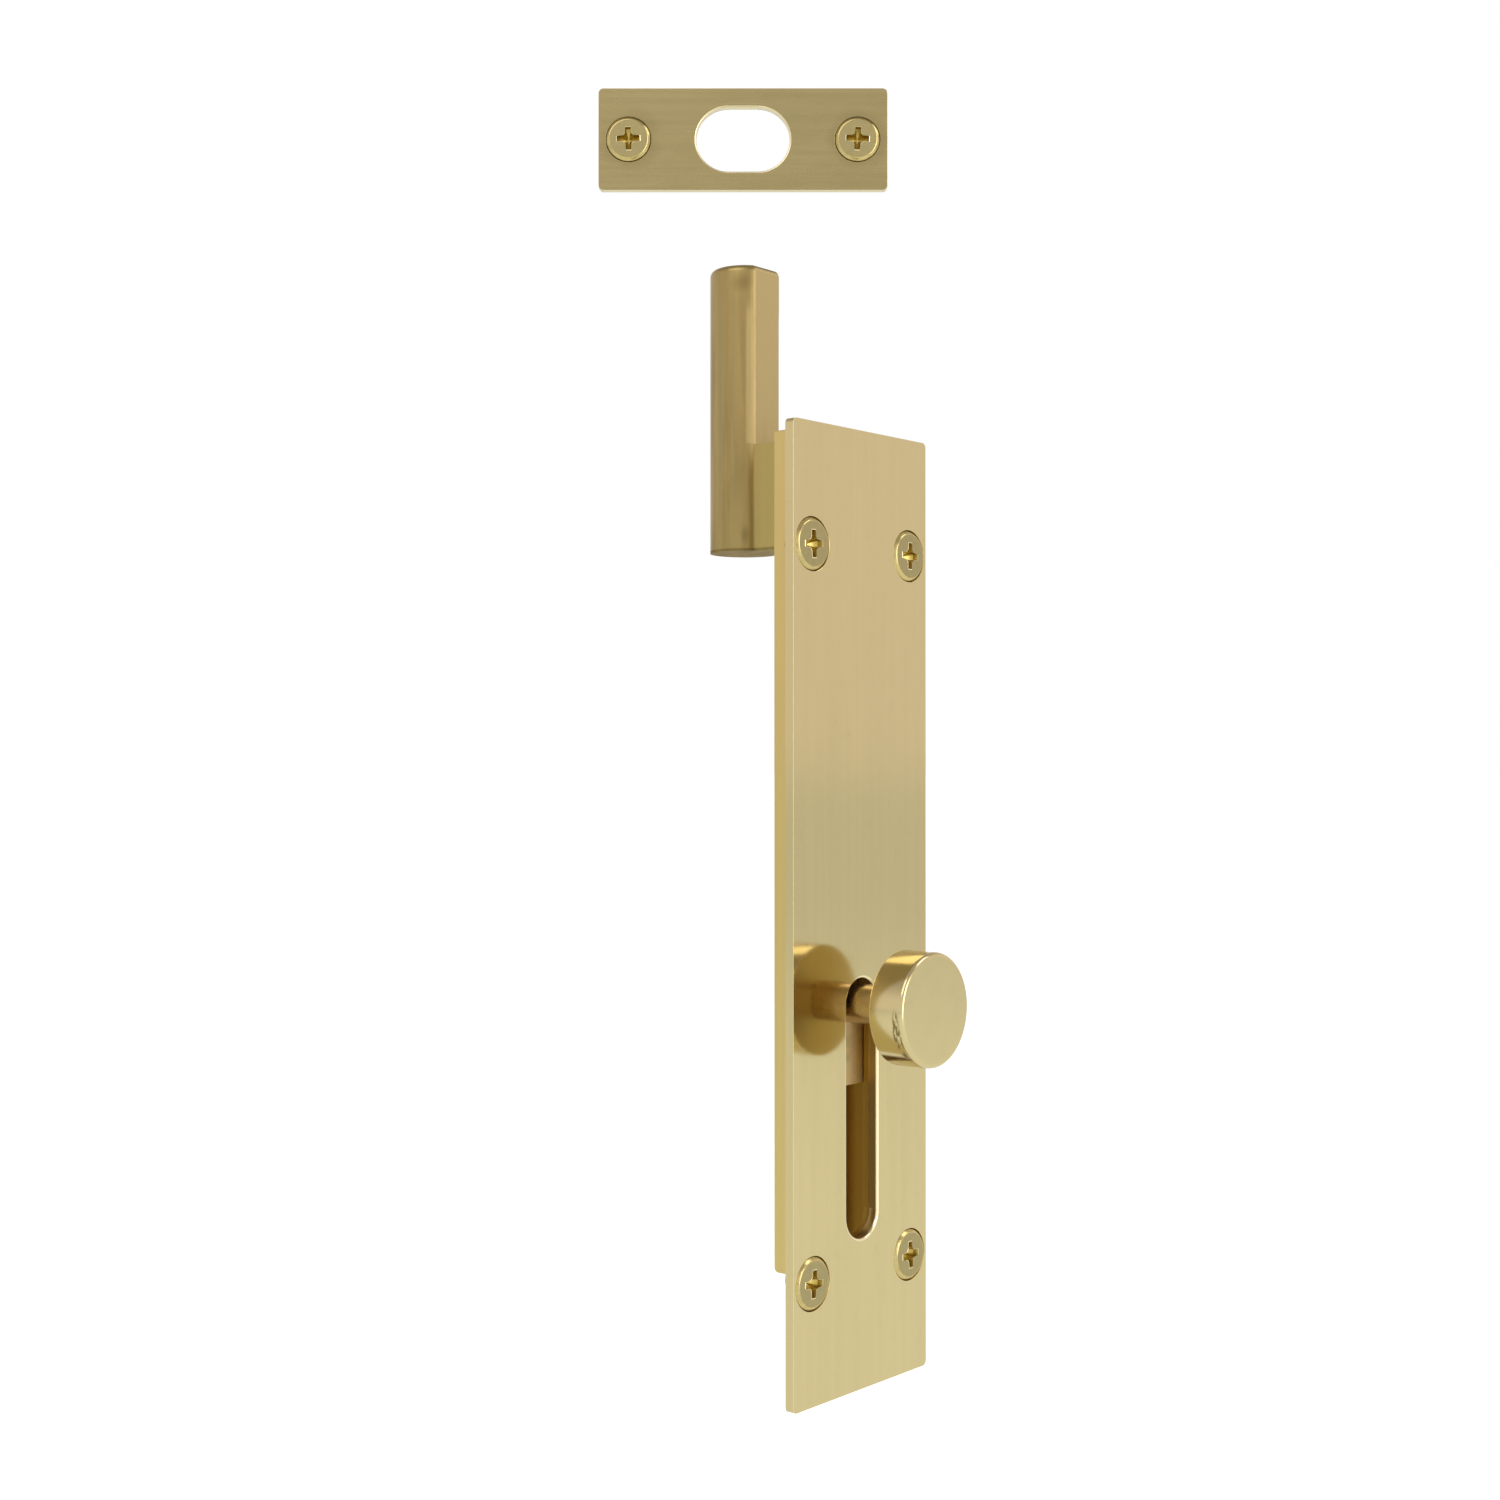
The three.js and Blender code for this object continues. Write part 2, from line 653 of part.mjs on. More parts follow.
// The strike's own frame: its front face is at y = 0 and its middle on the origin.
function strike() {
  const face = -STRIKE_HEAD_PROUD;
  const outline = roundedRectangle(STRIKE_WIDTH, STRIKE_HEIGHT, STRIKE_CORNER);
  let body = slab(outline, 0, STRIKE_THICKNESS, CORNER_STEPS);
  const hole = obround(strikeHoleLength, strikeHoleHeight, 0, 0);
  body = body.subtract(slab(hole, -CUT_PAST, STRIKE_THICKNESS + CUT_PAST));
  for (const x of [-strikeScrewX, strikeScrewX]) {
    body = body.subtract(countersink(face, x, 0));
  }
  const group = new THREE.Group();
  group.add(
    piece("strike_plate", body, brushedBrass()),
    faceScrew("strike_screw_left", face, -strikeScrewX, 0),
    faceScrew("strike_screw_right", face, strikeScrewX, 0),
  );
  group.rotation.z = STRIKE_TURN;
  group.position.set(
    STRIKE_BESIDE_ROD,
    ROD_SETBACK + STRIKE_BEHIND_ROD,
    rodTip + STRIKE_ABOVE_ROD + STRIKE_HEIGHT / 2,
  );
  return group;
}

// ---- Assembly -----------------------------------------------------------------------------

const fixed = new THREE.Group();
fixed.add(frontPlate(), boltCase(), ...plateScrews());

const sliding = new THREE.Group();
sliding.add(slideBar(), boltRod(), ...neckScrews());
sliding.add(knob(), knobStem(), stemSetScrew());
sliding.add(frictionSpring(), ...springRivets());

const group = new THREE.Group();
group.add(fixed, sliding, strike());

export default group;
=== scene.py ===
import json
import math

import bmesh
import bpy
from bpy.props import FloatProperty, FloatVectorProperty, IntProperty, PointerProperty
from mathutils import Matrix, Vector


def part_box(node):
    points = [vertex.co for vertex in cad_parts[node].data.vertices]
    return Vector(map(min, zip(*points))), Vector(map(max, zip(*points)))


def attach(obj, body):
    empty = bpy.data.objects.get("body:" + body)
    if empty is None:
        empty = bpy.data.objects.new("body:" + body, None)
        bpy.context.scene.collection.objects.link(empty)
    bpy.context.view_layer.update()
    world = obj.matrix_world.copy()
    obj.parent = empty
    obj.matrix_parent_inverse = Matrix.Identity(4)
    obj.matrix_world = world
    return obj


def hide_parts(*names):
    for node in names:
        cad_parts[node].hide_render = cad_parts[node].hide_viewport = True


bl_info = {
    "name": "Door Slide Bolt",
    "version": (1, 0, 0),
    "blender": (4, 5, 0),
    "location": "View3D > Sidebar > Slide Bolt",
    "description": "Builds a brass slide bolt for a door, with its screws and its strike plate",
    "category": "Object",
}

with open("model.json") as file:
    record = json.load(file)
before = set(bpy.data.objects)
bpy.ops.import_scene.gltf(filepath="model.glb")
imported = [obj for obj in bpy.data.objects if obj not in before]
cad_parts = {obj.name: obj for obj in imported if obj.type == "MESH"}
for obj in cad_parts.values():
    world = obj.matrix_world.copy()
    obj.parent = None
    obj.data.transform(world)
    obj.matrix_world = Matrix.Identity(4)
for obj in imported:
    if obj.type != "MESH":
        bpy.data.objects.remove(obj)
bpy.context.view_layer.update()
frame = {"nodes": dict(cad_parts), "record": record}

# Pieces are drawn in millimetres and brought to metres when they are finished. A flat or turned
# piece is drawn face on: X to the right, Y up and Z towards the room. FACING stands it up.
TO_METRES = Matrix.Scale(0.001, 4)
FACING = Matrix.Rotation(math.radians(90), 4, "X")
WELD = 0.0005  # vertices nearer than this are one
NEAR = 0.01  # how far off a level a vertex may lie and still belong to it


# ---- What the frame says ------------------------------------------------------------------


def box_mm(node):
    low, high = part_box(node)
    return low * 1000, high * 1000


def middle_mm(node):
    low, high = box_mm(node)
    return (low + high) / 2


def body_of(node):
    bodies = frame["record"]["behaviour"]["bodies"]
    return next(body for body, nodes in bodies.items() if node in nodes)


def slot_of(node):
    return next(part["material_slot"] for part in frame["record"]["subparts"] if part["node"] == node)


# ---- Sizes and colours --------------------------------------------------------------------


def length(name, millimetres, description):
    return FloatProperty(
        name=name,
        description=description,
        default=millimetres / 1000,
        precision=5,
        unit="LENGTH",
    )


def colour(name, rgb, description):
    return FloatVectorProperty(
        name=name, description=description, default=rgb, size=3, min=0, max=1, subtype="COLOR"
    )


class Millimetres:
    """Reads the lengths of a property group in millimetres."""

    def __init__(self, group):
        self.group = group

    def __getattr__(self, name):
        return getattr(self.group, name) * 1000


class PlateSizes(bpy.types.PropertyGroup):
    corner: length("Corner", 0.8, "Radius of the face plate's four corners")
    edge: length("Edge round", 0.24, "Radius worn onto the front edges")
    back_edge: length("Back edge", 0.12, "Width of the broken edges at the back")
    slot_spare: length("Slot spare", 1.59, "Slot width over the stem's diameter")
    slot_length: length("Slot length", 41.3, "Length of the slot, over its round ends")
    stem_gap: length("Stem gap", 0.9, "From the stem to the slot's upper end, bolt thrown")
    hole_edge: length("Hole edge", 0.06, "Width of the broken edges of the screw holes")
    slot_edge: length("Slot edge", 0.42, "Radius burnished onto the slot's front edge")


class CaseSizes(bpy.types.PropertyGroup):
    front_wall: length("Front wall", 1.2, "Thickness of the slotted wall on the plate")
    side_wall: length("Side wall", 1.6, "Thickness of the two sides")
    lip: length("Lip", 1.6, "Thickness of the two lips at the back")
    neck_fit: length("Neck fit", 0.15, "Room between the neck and each lip")
    corner: length("Foot corner", 0.8, "Radius at the back of the lower end")
    edge: length("Edge", 0.14, "Width of the broken edges")


class BarSizes(bpy.types.PropertyGroup):
    chamfer: length("Chamfer", 0.5, "Cut on the bar's four corners")
    edge: length("Edge", 0.12, "Width of the broken edges")
    fit: length("Hole fit", 0.08, "Room round whatever sits in a hole")
    set_screw_gap: length("Bore end", 0.12, "Room above the set screw")


class RodSizes(bpy.types.PropertyGroup):
    neck_width: length("Neck width", 6, "Width of the neck, and of the flat above it")
    neck_height: length("Neck height", 17.6, "Height of the neck")
    fillet: length("Fillet", 1, "Radius where the neck runs into the rod")
    tip_round: length("Tip round", 1.1, "Radius of the rod's upper edge")
    foot_edge: length("Foot edge", 0.35, "Width of the broken edge at the foot")
    facet_depth: length("Facet depth", 0.05, "Depth of the shallow cut beside the flat")
    facet_start: length("Facet start", 0.3, "From the ledge to the shallow cut's lower end")
    facet_fade: length("Facet fade", 3, "Height over which the shallow cut runs out")
    facet_below_tip: length("Facet end", 6, "From the tip to the shallow cut's upper end")


class KnobSizes(bpy.types.PropertyGroup):
    front_round: length("Front round", 0.7, "Radius of the knob's front edge")
    back_edge: length("Back edge", 0.3, "Width of the knob's back edge")
    tenon: length("Tenon", 2, "Radius of the stem's tenons")
    tenon_length: length("Tenon length", 4.4, "Reach of the front tenon into the knob")
    bore_spare: length("Bore spare", 0.3, "Room past the end of the tenon")
    stem_edge: length("Stem edge", 0.15, "Width of the stem's broken edges")
    steps: IntProperty(name="Steps", description="Facets round the knob", default=160, min=24)


class ScrewSizes(bpy.types.PropertyGroup):
    rim: length("Rim", 0.5, "Width and depth of the head's bevelled rim")
    land: length("Land", 0.15, "Height of the head's straight side")
    face_edge: length("Face edge", 0.12, "Radius between the face and the rim")
    rim_edge: length("Rim edge", 0.1, "Radius between the rim and the head's side")
    crest: length("Crest", 2.08, "Radius over the threads")
    root: length("Root", 1.72, "Radius between the threads")
    pitch: length("Pitch", 0.794, "Rise of the thread in one turn")
    fit: length("Fit", 0.08, "Room round the screw in its countersink")
    half_angle: FloatProperty(
        name="Half angle",
        description="Slope of the countersink from the screw's axis",
        default=math.radians(41),
        subtype="ANGLE",
    )
    recess_span: length("Recess span", 4.5, "Cross recess, from tip to tip")
    recess_arm: length("Recess arm", 1.3, "Width of each arm of the cross")
    recess_corner: length("Recess corner", 0.6, "Curve between two arms")
    recess_burr: length("Recess burr", 0.06, "Height of the rolled edge round the recess")
    burr_edge: length("Burr edge", 0.035, "Width of the burr's own broken edge")
    recess_depth: length("Recess depth", 1.9, "Depth of the recess at the middle")


class StrikeSizes(bpy.types.PropertyGroup):
    width: length("Width", 54, "Length of the strike plate")
    thickness: length("Thickness", 1.6, "Thickness of the strike plate")
    corner: length("Corner", 0.9, "Radius of its four corners")
    edge: length("Edge round", 0.32, "Radius worn onto the front edges")
    hole_height: length("Hole height", 12, "Height of the hole for the rod")
    hole_length: length("Hole length", 17.5, "Length of the hole for the rod")
    hole_edge: length("Hole edge", 0.3, "Radius of the hole's front edge")
    screw_hole_edge: length("Screw hole edge", 0.06, "Width of the broken edges of the screw holes")
    back_edge: length("Back edge", 0.12, "Width of the broken edges at the back")
    turn: FloatProperty(
        name="Turn",
        description="Turn of the strike plate about the upright axis",
        default=math.radians(-50),
        subtype="ANGLE",
    )


class SpringSizes(bpy.types.PropertyGroup):
    thickness: length("Thickness", 0.4, "Thickness of the leaf")
    foot: length("Foot", 14, "Length of the leaf's flat foot")
    bow: length("Bow", 34, "Length of the bowed part")
    rivet: length("Rivet", 1, "Radius of the rivets")
    corner: length("Corner", 1.2, "Radius of the leaf's corners")
    edge: length("Edge", 0.06, "Width of the leaf's broken edges")
    rivet_fit: length("Rivet fit", 0.08, "Room round the rivets in the leaf")
    fit: length("Fit", 0.1, "Room between the leaf and what it bears on")


class Finishes(bpy.types.PropertyGroup):
    polished: colour("Polished brass", (0.625, 0.52, 0.272), "Face plate and knob")
    channel: colour("Channel brass", (0.63, 0.49, 0.19), "The channel case")
    brushed: colour("Brushed brass", (0.41, 0.345, 0.163), "The strike plate")
    aged: colour("Aged brass", (0.395, 0.295, 0.115), "The bolt rod")
    milled: colour("Milled brass", (0.475, 0.365, 0.17), "The flat milled on the rod")
    bar: colour("Bar brass", (0.55, 0.405, 0.2), "The slide bar")
    screws: colour("Screw brass", (0.385, 0.322, 0.15), "The screws' faces")
    bare: colour("Bare brass", (0.60, 0.48, 0.20), "Rubbed edges and recesses of the screws")
    # The dark brass is painted shade for the hollow of the channel and the slot's walls.
    inside: colour("Dark brass", (0.40, 0.225, 0.02), "Inside the channel and the slot")
    # The recess brass is painted shade for the screws' recesses.
    recess: colour("Recess brass", (0.50, 0.385, 0.11), "Down in the screws' recesses")
    # The worn brass is the pale brass of burnished edges, used also as a painted highlight on rounded
    # edges and burrs.
    worn: colour("Worn brass", (0.95, 0.84, 0.55), "Edges burnished by use")
    steel: colour("Spring steel", (0.30, 0.30, 0.31), "The leaf spring and the set screw")
    tarnish: colour("Tarnish", (0.20, 0.145, 0.05), "Darkened brass")
    neck: colour("Neck brass", (0.45, 0.355, 0.12), "The rod's neck")
    verdigris: colour("Verdigris", (0.26, 0.27, 0.16), "Grey-green streaks on the rod")


class StageSettings(bpy.types.PropertyGroup):
    floor_drop: length("Floor drop", 60, "From the plate's lower end down to the floor")
    floor_radius: length("Floor radius", 30000, "Radius of the round floor")
    camera_place: FloatVectorProperty(
        name="Camera",
        description="Where the camera stands",
        default=(-0.26537, -0.20139, 0.02296),
        subtype="TRANSLATION",
        unit="LENGTH",
    )
    camera_aim: FloatVectorProperty(
        name="Aim",
        description="The direction in which the camera looks",
        default=(0.76538, 0.64354, 0.00704),
        subtype="DIRECTION",
    )
    lens: FloatProperty(name="Lens", description="Focal length in millimetres", default=50)


# ---- Drawing and shaping ------------------------------------------------------------------


def made_since(sequence, before):
    return [item for item in sequence if item not in before]


def each_once(items):
    """A list of the items in their order, each of them once."""
    return list(dict.fromkeys(items))


def rounded_ring(bm, width, height, corner, segments, middle=(0, 0), level=0):
    """The edges of a rectangle with round corners, or of a slot when the corners meet."""
    before = set(bm.edges)
    place = Matrix.Translation((*middle, level)) @ Matrix.Diagonal((width, height, 1, 1))
    made = bmesh.ops.create_grid(bm, x_segments=1, y_segments=1, size=0.5, matrix=place)
    bmesh.ops.bevel(
        bm,
        geom=made["verts"],
        offset=corner,
        offset_type="OFFSET",
        segments=segments,
        profile=0.5,
        affect="VERTICES",
        material=-1,
    )
    edges = made_since(bm.edges, before)
    faces = each_once(face for edge in edges for face in edge.link_faces)
    bmesh.ops.delete(bm, geom=faces, context="FACES_ONLY")
    verts = each_once(vert for edge in edges for vert in edge.verts)
    bmesh.ops.remove_doubles(bm, verts=verts, dist=WELD)
    return made_since(bm.edges, before)


def circle_ring(bm, radius, segments, middle=(0, 0), level=0):
    before = set(bm.edges)
    place = Matrix.Translation((*middle, level))
    bmesh.ops.create_circle(bm, cap_ends=False, segments=segments, radius=radius, matrix=place)
    return made_since(bm.edges, before)


def fill(bm, edges, normal=(0, 0, 1)):
    """Fills flat between closed rings of edges."""
    made = bmesh.ops.triangle_fill(
        bm, use_beauty=True, use_dissolve=False, edges=edges, normal=normal
    )
    return [item for item in made["geom"] if isinstance(item, bmesh.types.BMFace)]


def extrude(bm, faces, offset):
    """Pushes faces along an offset and gives the faces at the far end back.

    A sheet keeps its faces and gains a thickness. Faces of a solid move out and leave none behind.
    """
    region = set(faces)
    solid = any(
        other not in region for face in faces for edge in face.edges for other in edge.link_faces
    )
    made = bmesh.ops.extrude_face_region(bm, geom=faces)["geom"]
    verts = [item for item in made if isinstance(item, bmesh.types.BMVert)]
    bmesh.ops.translate(bm, vec=offset, verts=verts)
    if solid:
        bmesh.ops.delete(bm, geom=faces, context="FACES")
    return [item for item in made if isinstance(item, bmesh.types.BMFace)]


def extrude_edges(bm, edges, offset=(0, 0, 0), scale=(1, 1, 1)):
    """Draws a wall from a ring of edges and gives the ring at its far end back."""
    made = bmesh.ops.extrude_edge_only(bm, edges=edges)["geom"]
    verts = [item for item in made if isinstance(item, bmesh.types.BMVert)]
    bmesh.ops.scale(bm, vec=scale, space=Matrix.Identity(4), verts=verts)
    bmesh.ops.translate(bm, vec=offset, verts=verts)
    return [item for item in made if isinstance(item, bmesh.types.BMEdge)]


def round_edges(bm, width, segments, where, limit=28):
    """Rounds the sharp edges whose middle passes the test."""
    edges = [
        edge
        for edge in bm.edges
        if edge.calc_face_angle(0) > math.radians(limit)
        and where((edge.verts[0].co + edge.verts[1].co) / 2)
    ]
    if not edges:
        raise RuntimeError("no sharp edge passed the test, so nothing was rounded")
    bmesh.ops.bevel(
        bm,
        geom=edges,
        offset=width,
        offset_type="OFFSET",
        segments=segments,
        profile=0.5,
        affect="EDGES",
        clamp_overlap=True,
        loop_slide=False,
        material=-1,
    )


def turn(bm, profile, steps):
    """Turns a profile of (radius, height) pairs about the Z axis."""
    before = set(bm.verts)
    verts = [bm.verts.new((radius, 0, z)) for radius, z in profile]
    edges = [bm.edges.new(pair) for pair in zip(verts, verts[1:])]
    bmesh.ops.spin(
        bm,
        geom=verts + edges,
        cent=(0, 0, 0),
        axis=(0, 0, 1),
        dvec=(0, 0, 0),
        angle=2 * math.pi,
        steps=steps,
        use_merge=True,
    )
    bmesh.ops.remove_doubles(bm, verts=made_since(bm.verts, before), dist=WELD)


def at_ring(radius, z):
    """A test for the edges of one ring of a turned piece."""
    return lambda p: abs(math.hypot(p.x, p.y) - radius) < 0.02 * radius and abs(p.z - z) < NEAR


def sheet(bm, rings, holes, depths):
    """A sheet with its back at Z = 0, thickened from its front in steps down to each depth.

    Each hole is (x, y, radii), with its radius at the front and then at each depth. The seams that
    the steps leave on flat walls are dissolved, so they don't limit how far an edge is rounded.
    """
    front = depths[-1]
    edges = [edge for ring in rings for edge in ring]
    for x, y, radii in holes:
        edges += circle_ring(bm, radii[0], HOLE_STEPS, (x, y), front)
    faces = fill(bm, edges)
    above = 0
    for step, depth in enumerate(depths):
        faces = extrude(bm, faces, (0, 0, above - depth))
        above = depth
        for x, y, radii in holes:
            before, after = radii[step : step + 2]
            ring = [
                vert
                for vert in bm.verts
                if abs(vert.co.z - front + depth) < NEAR
                and abs(math.hypot(vert.co.x - x, vert.co.y - y) - before) < NEAR
            ]
            space = Matrix.Translation((-x, -y, 0))
            bmesh.ops.scale(bm, vec=(after / before, after / before, 1), space=space, verts=ring)
    seams = [
        edge
        for edge in bm.edges
        if NEAR < edge.verts[0].co.z < front - NEAR
        and abs(edge.verts[0].co.z - edge.verts[1].co.z) < NEAR
        and edge.calc_face_angle(1) < math.radians(1)
    ]
    bmesh.ops.dissolve_edges(bm, edges=seams, use_verts=True, use_face_split=False)


HOLE_STEPS = 72


def finished(bm, name, node, material, place=None, flat=None, crease=30, wear_and_painted_light=None):
    """Closes a drawn piece, stands it in its place and hands it to the frame.

    wear_and_painted_light says what each face shows: 0 as made, 1 bare on a screw and a painted
    highlight on a sheet's rounded edge, 2 painted shade down in a recess, 3 a painted highlight on its
    burr.
    """
    bmesh.ops.remove_doubles(bm, verts=bm.verts, dist=WELD)
    bmesh.ops.recalc_face_normals(bm, faces=bm.faces)
    if wear_and_painted_light:
        layer = bm.faces.layers.float.new("wear_and_painted_light")
        for face in bm.faces:
            face[layer] = float(wear_and_painted_light(face))
    for face in bm.faces:
        face.smooth = not (flat and flat(face))
    for edge in bm.edges:
        edge.smooth = edge.calc_face_angle(0) < math.radians(crease)
    bmesh.ops.transform(bm, matrix=TO_METRES @ (place or Matrix.Identity(4)), verts=bm.verts)
    mesh = bpy.data.meshes.new(name)
    bm.to_mesh(mesh)
    bm.free()
    piece = bpy.data.objects.new(name, mesh)
    bpy.context.scene.collection.objects.link(piece)
    mesh.materials.append(material)
    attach(piece, body_of(node))
    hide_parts(node)
    slot_of(node)
    return piece


def faces_along(*axes):
    """A test for the faces that lie square to one of the axes, which keep their flat shading."""
    wanted = [Vector(axis) for axis in axes]
    return lambda face: any(abs(face.normal.dot(axis)) > 0.99999 for axis in wanted)


# ---- Materials ----------------------------------------------------------------------------


class Graph:
    """Adds nodes to a tree in few words."""

    def __init__(self, tree):
        self.tree = tree

    def node(self, kind, inputs=None, **settings):
        made = self.tree.nodes.new(kind)
        for name, value in settings.items():
            setattr(made, name, value)
        for name, value in (inputs or {}).items():
            self.feed(made.inputs[name], value)
        return made

    def feed(self, socket, value):
        if isinstance(value, bpy.types.NodeSocket):
            self.tree.links.new(value, socket)
        else:
            socket.default_value = value

    def math(self, operation, *values, clamp=False):
        inputs = dict(enumerate(values))
        return self.node("ShaderNodeMath", inputs, operation=operation, use_clamp=clamp).outputs[0]

    def vector(self, operation, *values):
        made = self.node("ShaderNodeVectorMath", dict(enumerate(values)), operation=operation)
        return made.outputs["Value" if operation == "LENGTH" else "Vector"]

    def ramp(self, value, start, end, low=0.0, high=1.0):
        """Low at start, high at end, with a smooth run between."""
        inputs = {0: value, 1: start, 2: end, 3: low, 4: high}
        made = self.node("ShaderNodeMapRange", inputs, interpolation_type="SMOOTHSTEP")
        return made.outputs[0]

    def mix(self, share, first, second):
        made = self.node("ShaderNodeMix", {0: share}, data_type="RGBA")
        for index, value in ((6, first), (7, second)):
            plain = not isinstance(value, bpy.types.NodeSocket)
            self.feed(made.inputs[index], (*value, 1) if plain and len(value) == 3 else value)
        return made.outputs[2]

    def tint(self, base, mask, share, other):
        """The base colour, with a share of the other where the mask is."""
        return self.mix(self.math("MULTIPLY", mask, share), base, other)

    def more(self, start, mask, amount):
        """The start value, and the amount more where the mask is."""
        return self.math("MULTIPLY_ADD", mask, amount, start)

    def noise(self, vector, scale, detail=2.0, roughness=0.5):
        inputs = {"Vector": vector, "Scale": scale, "Detail": detail, "Roughness": roughness}
        return self.node("ShaderNodeTexNoise", inputs).outputs["Fac"]

    def group(self, name, **inputs):
        made = self.node("ShaderNodeGroup", node_tree=bpy.data.node_groups[name])
        for key, value in inputs.items():
            self.feed(made.inputs[key.replace("_", " ").capitalize()], value)
        return made.outputs


def new_group(name, inputs, outputs):
    """An empty shader node group: inputs are {name: default}, outputs are names."""
    tree = bpy.data.node_groups.new(name, "ShaderNodeTree")
    for key, default in inputs.items():
        kind = "NodeSocketFloat" if isinstance(default, float) else "NodeSocketVector"
        tree.interface.new_socket(key, in_out="INPUT", socket_type=kind).default_value = default
    for key in outputs:
        tree.interface.new_socket(key, in_out="OUTPUT", socket_type="NodeSocketFloat")
    graph = Graph(tree)
    return graph, graph.node("NodeGroupInput").outputs, graph.node("NodeGroupOutput").inputs


ORIGIN = (0.0, 0.0, 0.0)
EVEN = (1.0, 1.0, 1.0)


def grain_group():
    """Fine lines left by drawing, brushing or polishing, as a height and as a shade."""
    inputs = {"Vector": ORIGIN, "Stretch": EVEN, "Scale": 1500.0}
    graph, given, wanted = new_group("Metal grain", inputs, ("Height", "Shade"))
    stretched = graph.vector("MULTIPLY", given["Vector"], given["Stretch"])
    fine = graph.noise(stretched, given["Scale"], 5.0, 0.65)
    broad = graph.noise(stretched, graph.math("MULTIPLY", given["Scale"], 0.22), 3.0, 0.6)
    graph.feed(wanted["Height"], graph.more(fine, broad, 0.6))
    graph.feed(wanted["Shade"], graph.ramp(broad, 0.3, 0.7))


def patch_group():
    """Soft patches, for tarnish and for uneven polish."""
    inputs = {"Vector": ORIGIN, "Stretch": EVEN, "Scale": 100.0, "Start": 0.4, "End": 0.7}
    graph, given, wanted = new_group("Patches", inputs, ("Mask",))
    stretched = graph.vector("MULTIPLY", given["Vector"], given["Stretch"])
    patches = graph.noise(stretched, given["Scale"], 4.0, 0.6)
    made = graph.node(
        "ShaderNodeMapRange",
        {0: patches, 1: given["Start"], 2: given["End"]},
        interpolation_type="SMOOTHSTEP",
    )
    graph.feed(wanted["Mask"], made.outputs[0])


def ring_group():
    """Turning marks: fine rings round an axis along Y through a centre."""
    inputs = {"Vector": ORIGIN, "Centre": ORIGIN, "Scale": 9000.0}
    graph, given, wanted = new_group("Turning marks", inputs, ("Height",))
    offset = graph.vector("SUBTRACT", given["Vector"], given["Centre"])
    flat = graph.vector("MULTIPLY", offset, (1.0, 0.0, 1.0))
    radius = graph.vector("LENGTH", flat)
    along = graph.node("ShaderNodeSeparateXYZ", {0: offset}).outputs[1]
    place = graph.node("ShaderNodeCombineXYZ", {0: radius, 1: along, 2: 0.0}).outputs[0]
    graph.feed(wanted["Height"], graph.noise(place, given["Scale"], 3.0, 0.6))


def speck_group():
    """Small pits and spots."""
    inputs = {"Vector": ORIGIN, "Scale": 1200.0, "Share": 0.3}
    graph, given, wanted = new_group("Specks", inputs, ("Mask",))
    fine = graph.noise(given["Vector"], given["Scale"], 2.0, 0.7)
    top = graph.math("SUBTRACT", 0.78, given["Share"])
    made = graph.node("ShaderNodeMapRange", {0: fine, 1: top, 2: graph.math("ADD", top, 0.12)})
    graph.feed(wanted["Mask"], made.outputs[0])


def spot_group():
    """A soft spot round a point, longer or shorter along each axis."""
    inputs = {"Vector": ORIGIN, "Centre": ORIGIN, "Reach": EVEN, "Softness": 0.5}
    graph, given, wanted = new_group("Soft spot", inputs, ("Mask",))
    offset = graph.vector("SUBTRACT", given["Vector"], given["Centre"])
    shares = graph.vector("DIVIDE", offset, given["Reach"])
    distance = graph.vector("LENGTH", shares)
    start = graph.math("SUBTRACT", 1.0, given["Softness"])
    made = graph.node(
        "ShaderNodeMapRange",
        {0: distance, 1: start, 2: 1.0, 3: 1.0, 4: 0.0},
        interpolation_type="SMOOTHSTEP",
    )
    graph.feed(wanted["Mask"], made.outputs[0])


def build_groups():
    for build in (grain_group, patch_group, ring_group, speck_group, spot_group):
        build()


def metal(name):
    """Turns a function that paints a metal into one that gives the metal's material.

    The function gives back the base colour, the roughness and the height of the bump, each as a
    socket, and then the strength and the distance of the bump, in metres.
    """

    def painted_by(paint):
        def material_of():
            material = bpy.data.materials.get(name)
            if material:
                return material
            material = bpy.data.materials.new(name)
            material.use_nodes = True
            graph = Graph(material.node_tree)
            shader = material.node_tree.nodes["Principled BSDF"]
            shader.inputs["Metallic"].default_value = 1.0
            here = graph.node("ShaderNodeTexCoord").outputs["Object"]
            base, roughness, height, strength, depth = paint(graph, here)
            relief = {"Height": height, "Strength": strength, "Distance": depth}
            bump = graph.node("ShaderNodeBump", relief)
            graph.feed(shader.inputs["Base Color"], base)
            graph.feed(shader.inputs["Roughness"], roughness)
            graph.feed(shader.inputs["Normal"], bump.outputs[0])
            return material

        return material_of

    return painted_by


def darker(rgb, share):
    return tuple(value * share for value in rgb)


def finishes():
    return bpy.context.scene.bolt_finishes


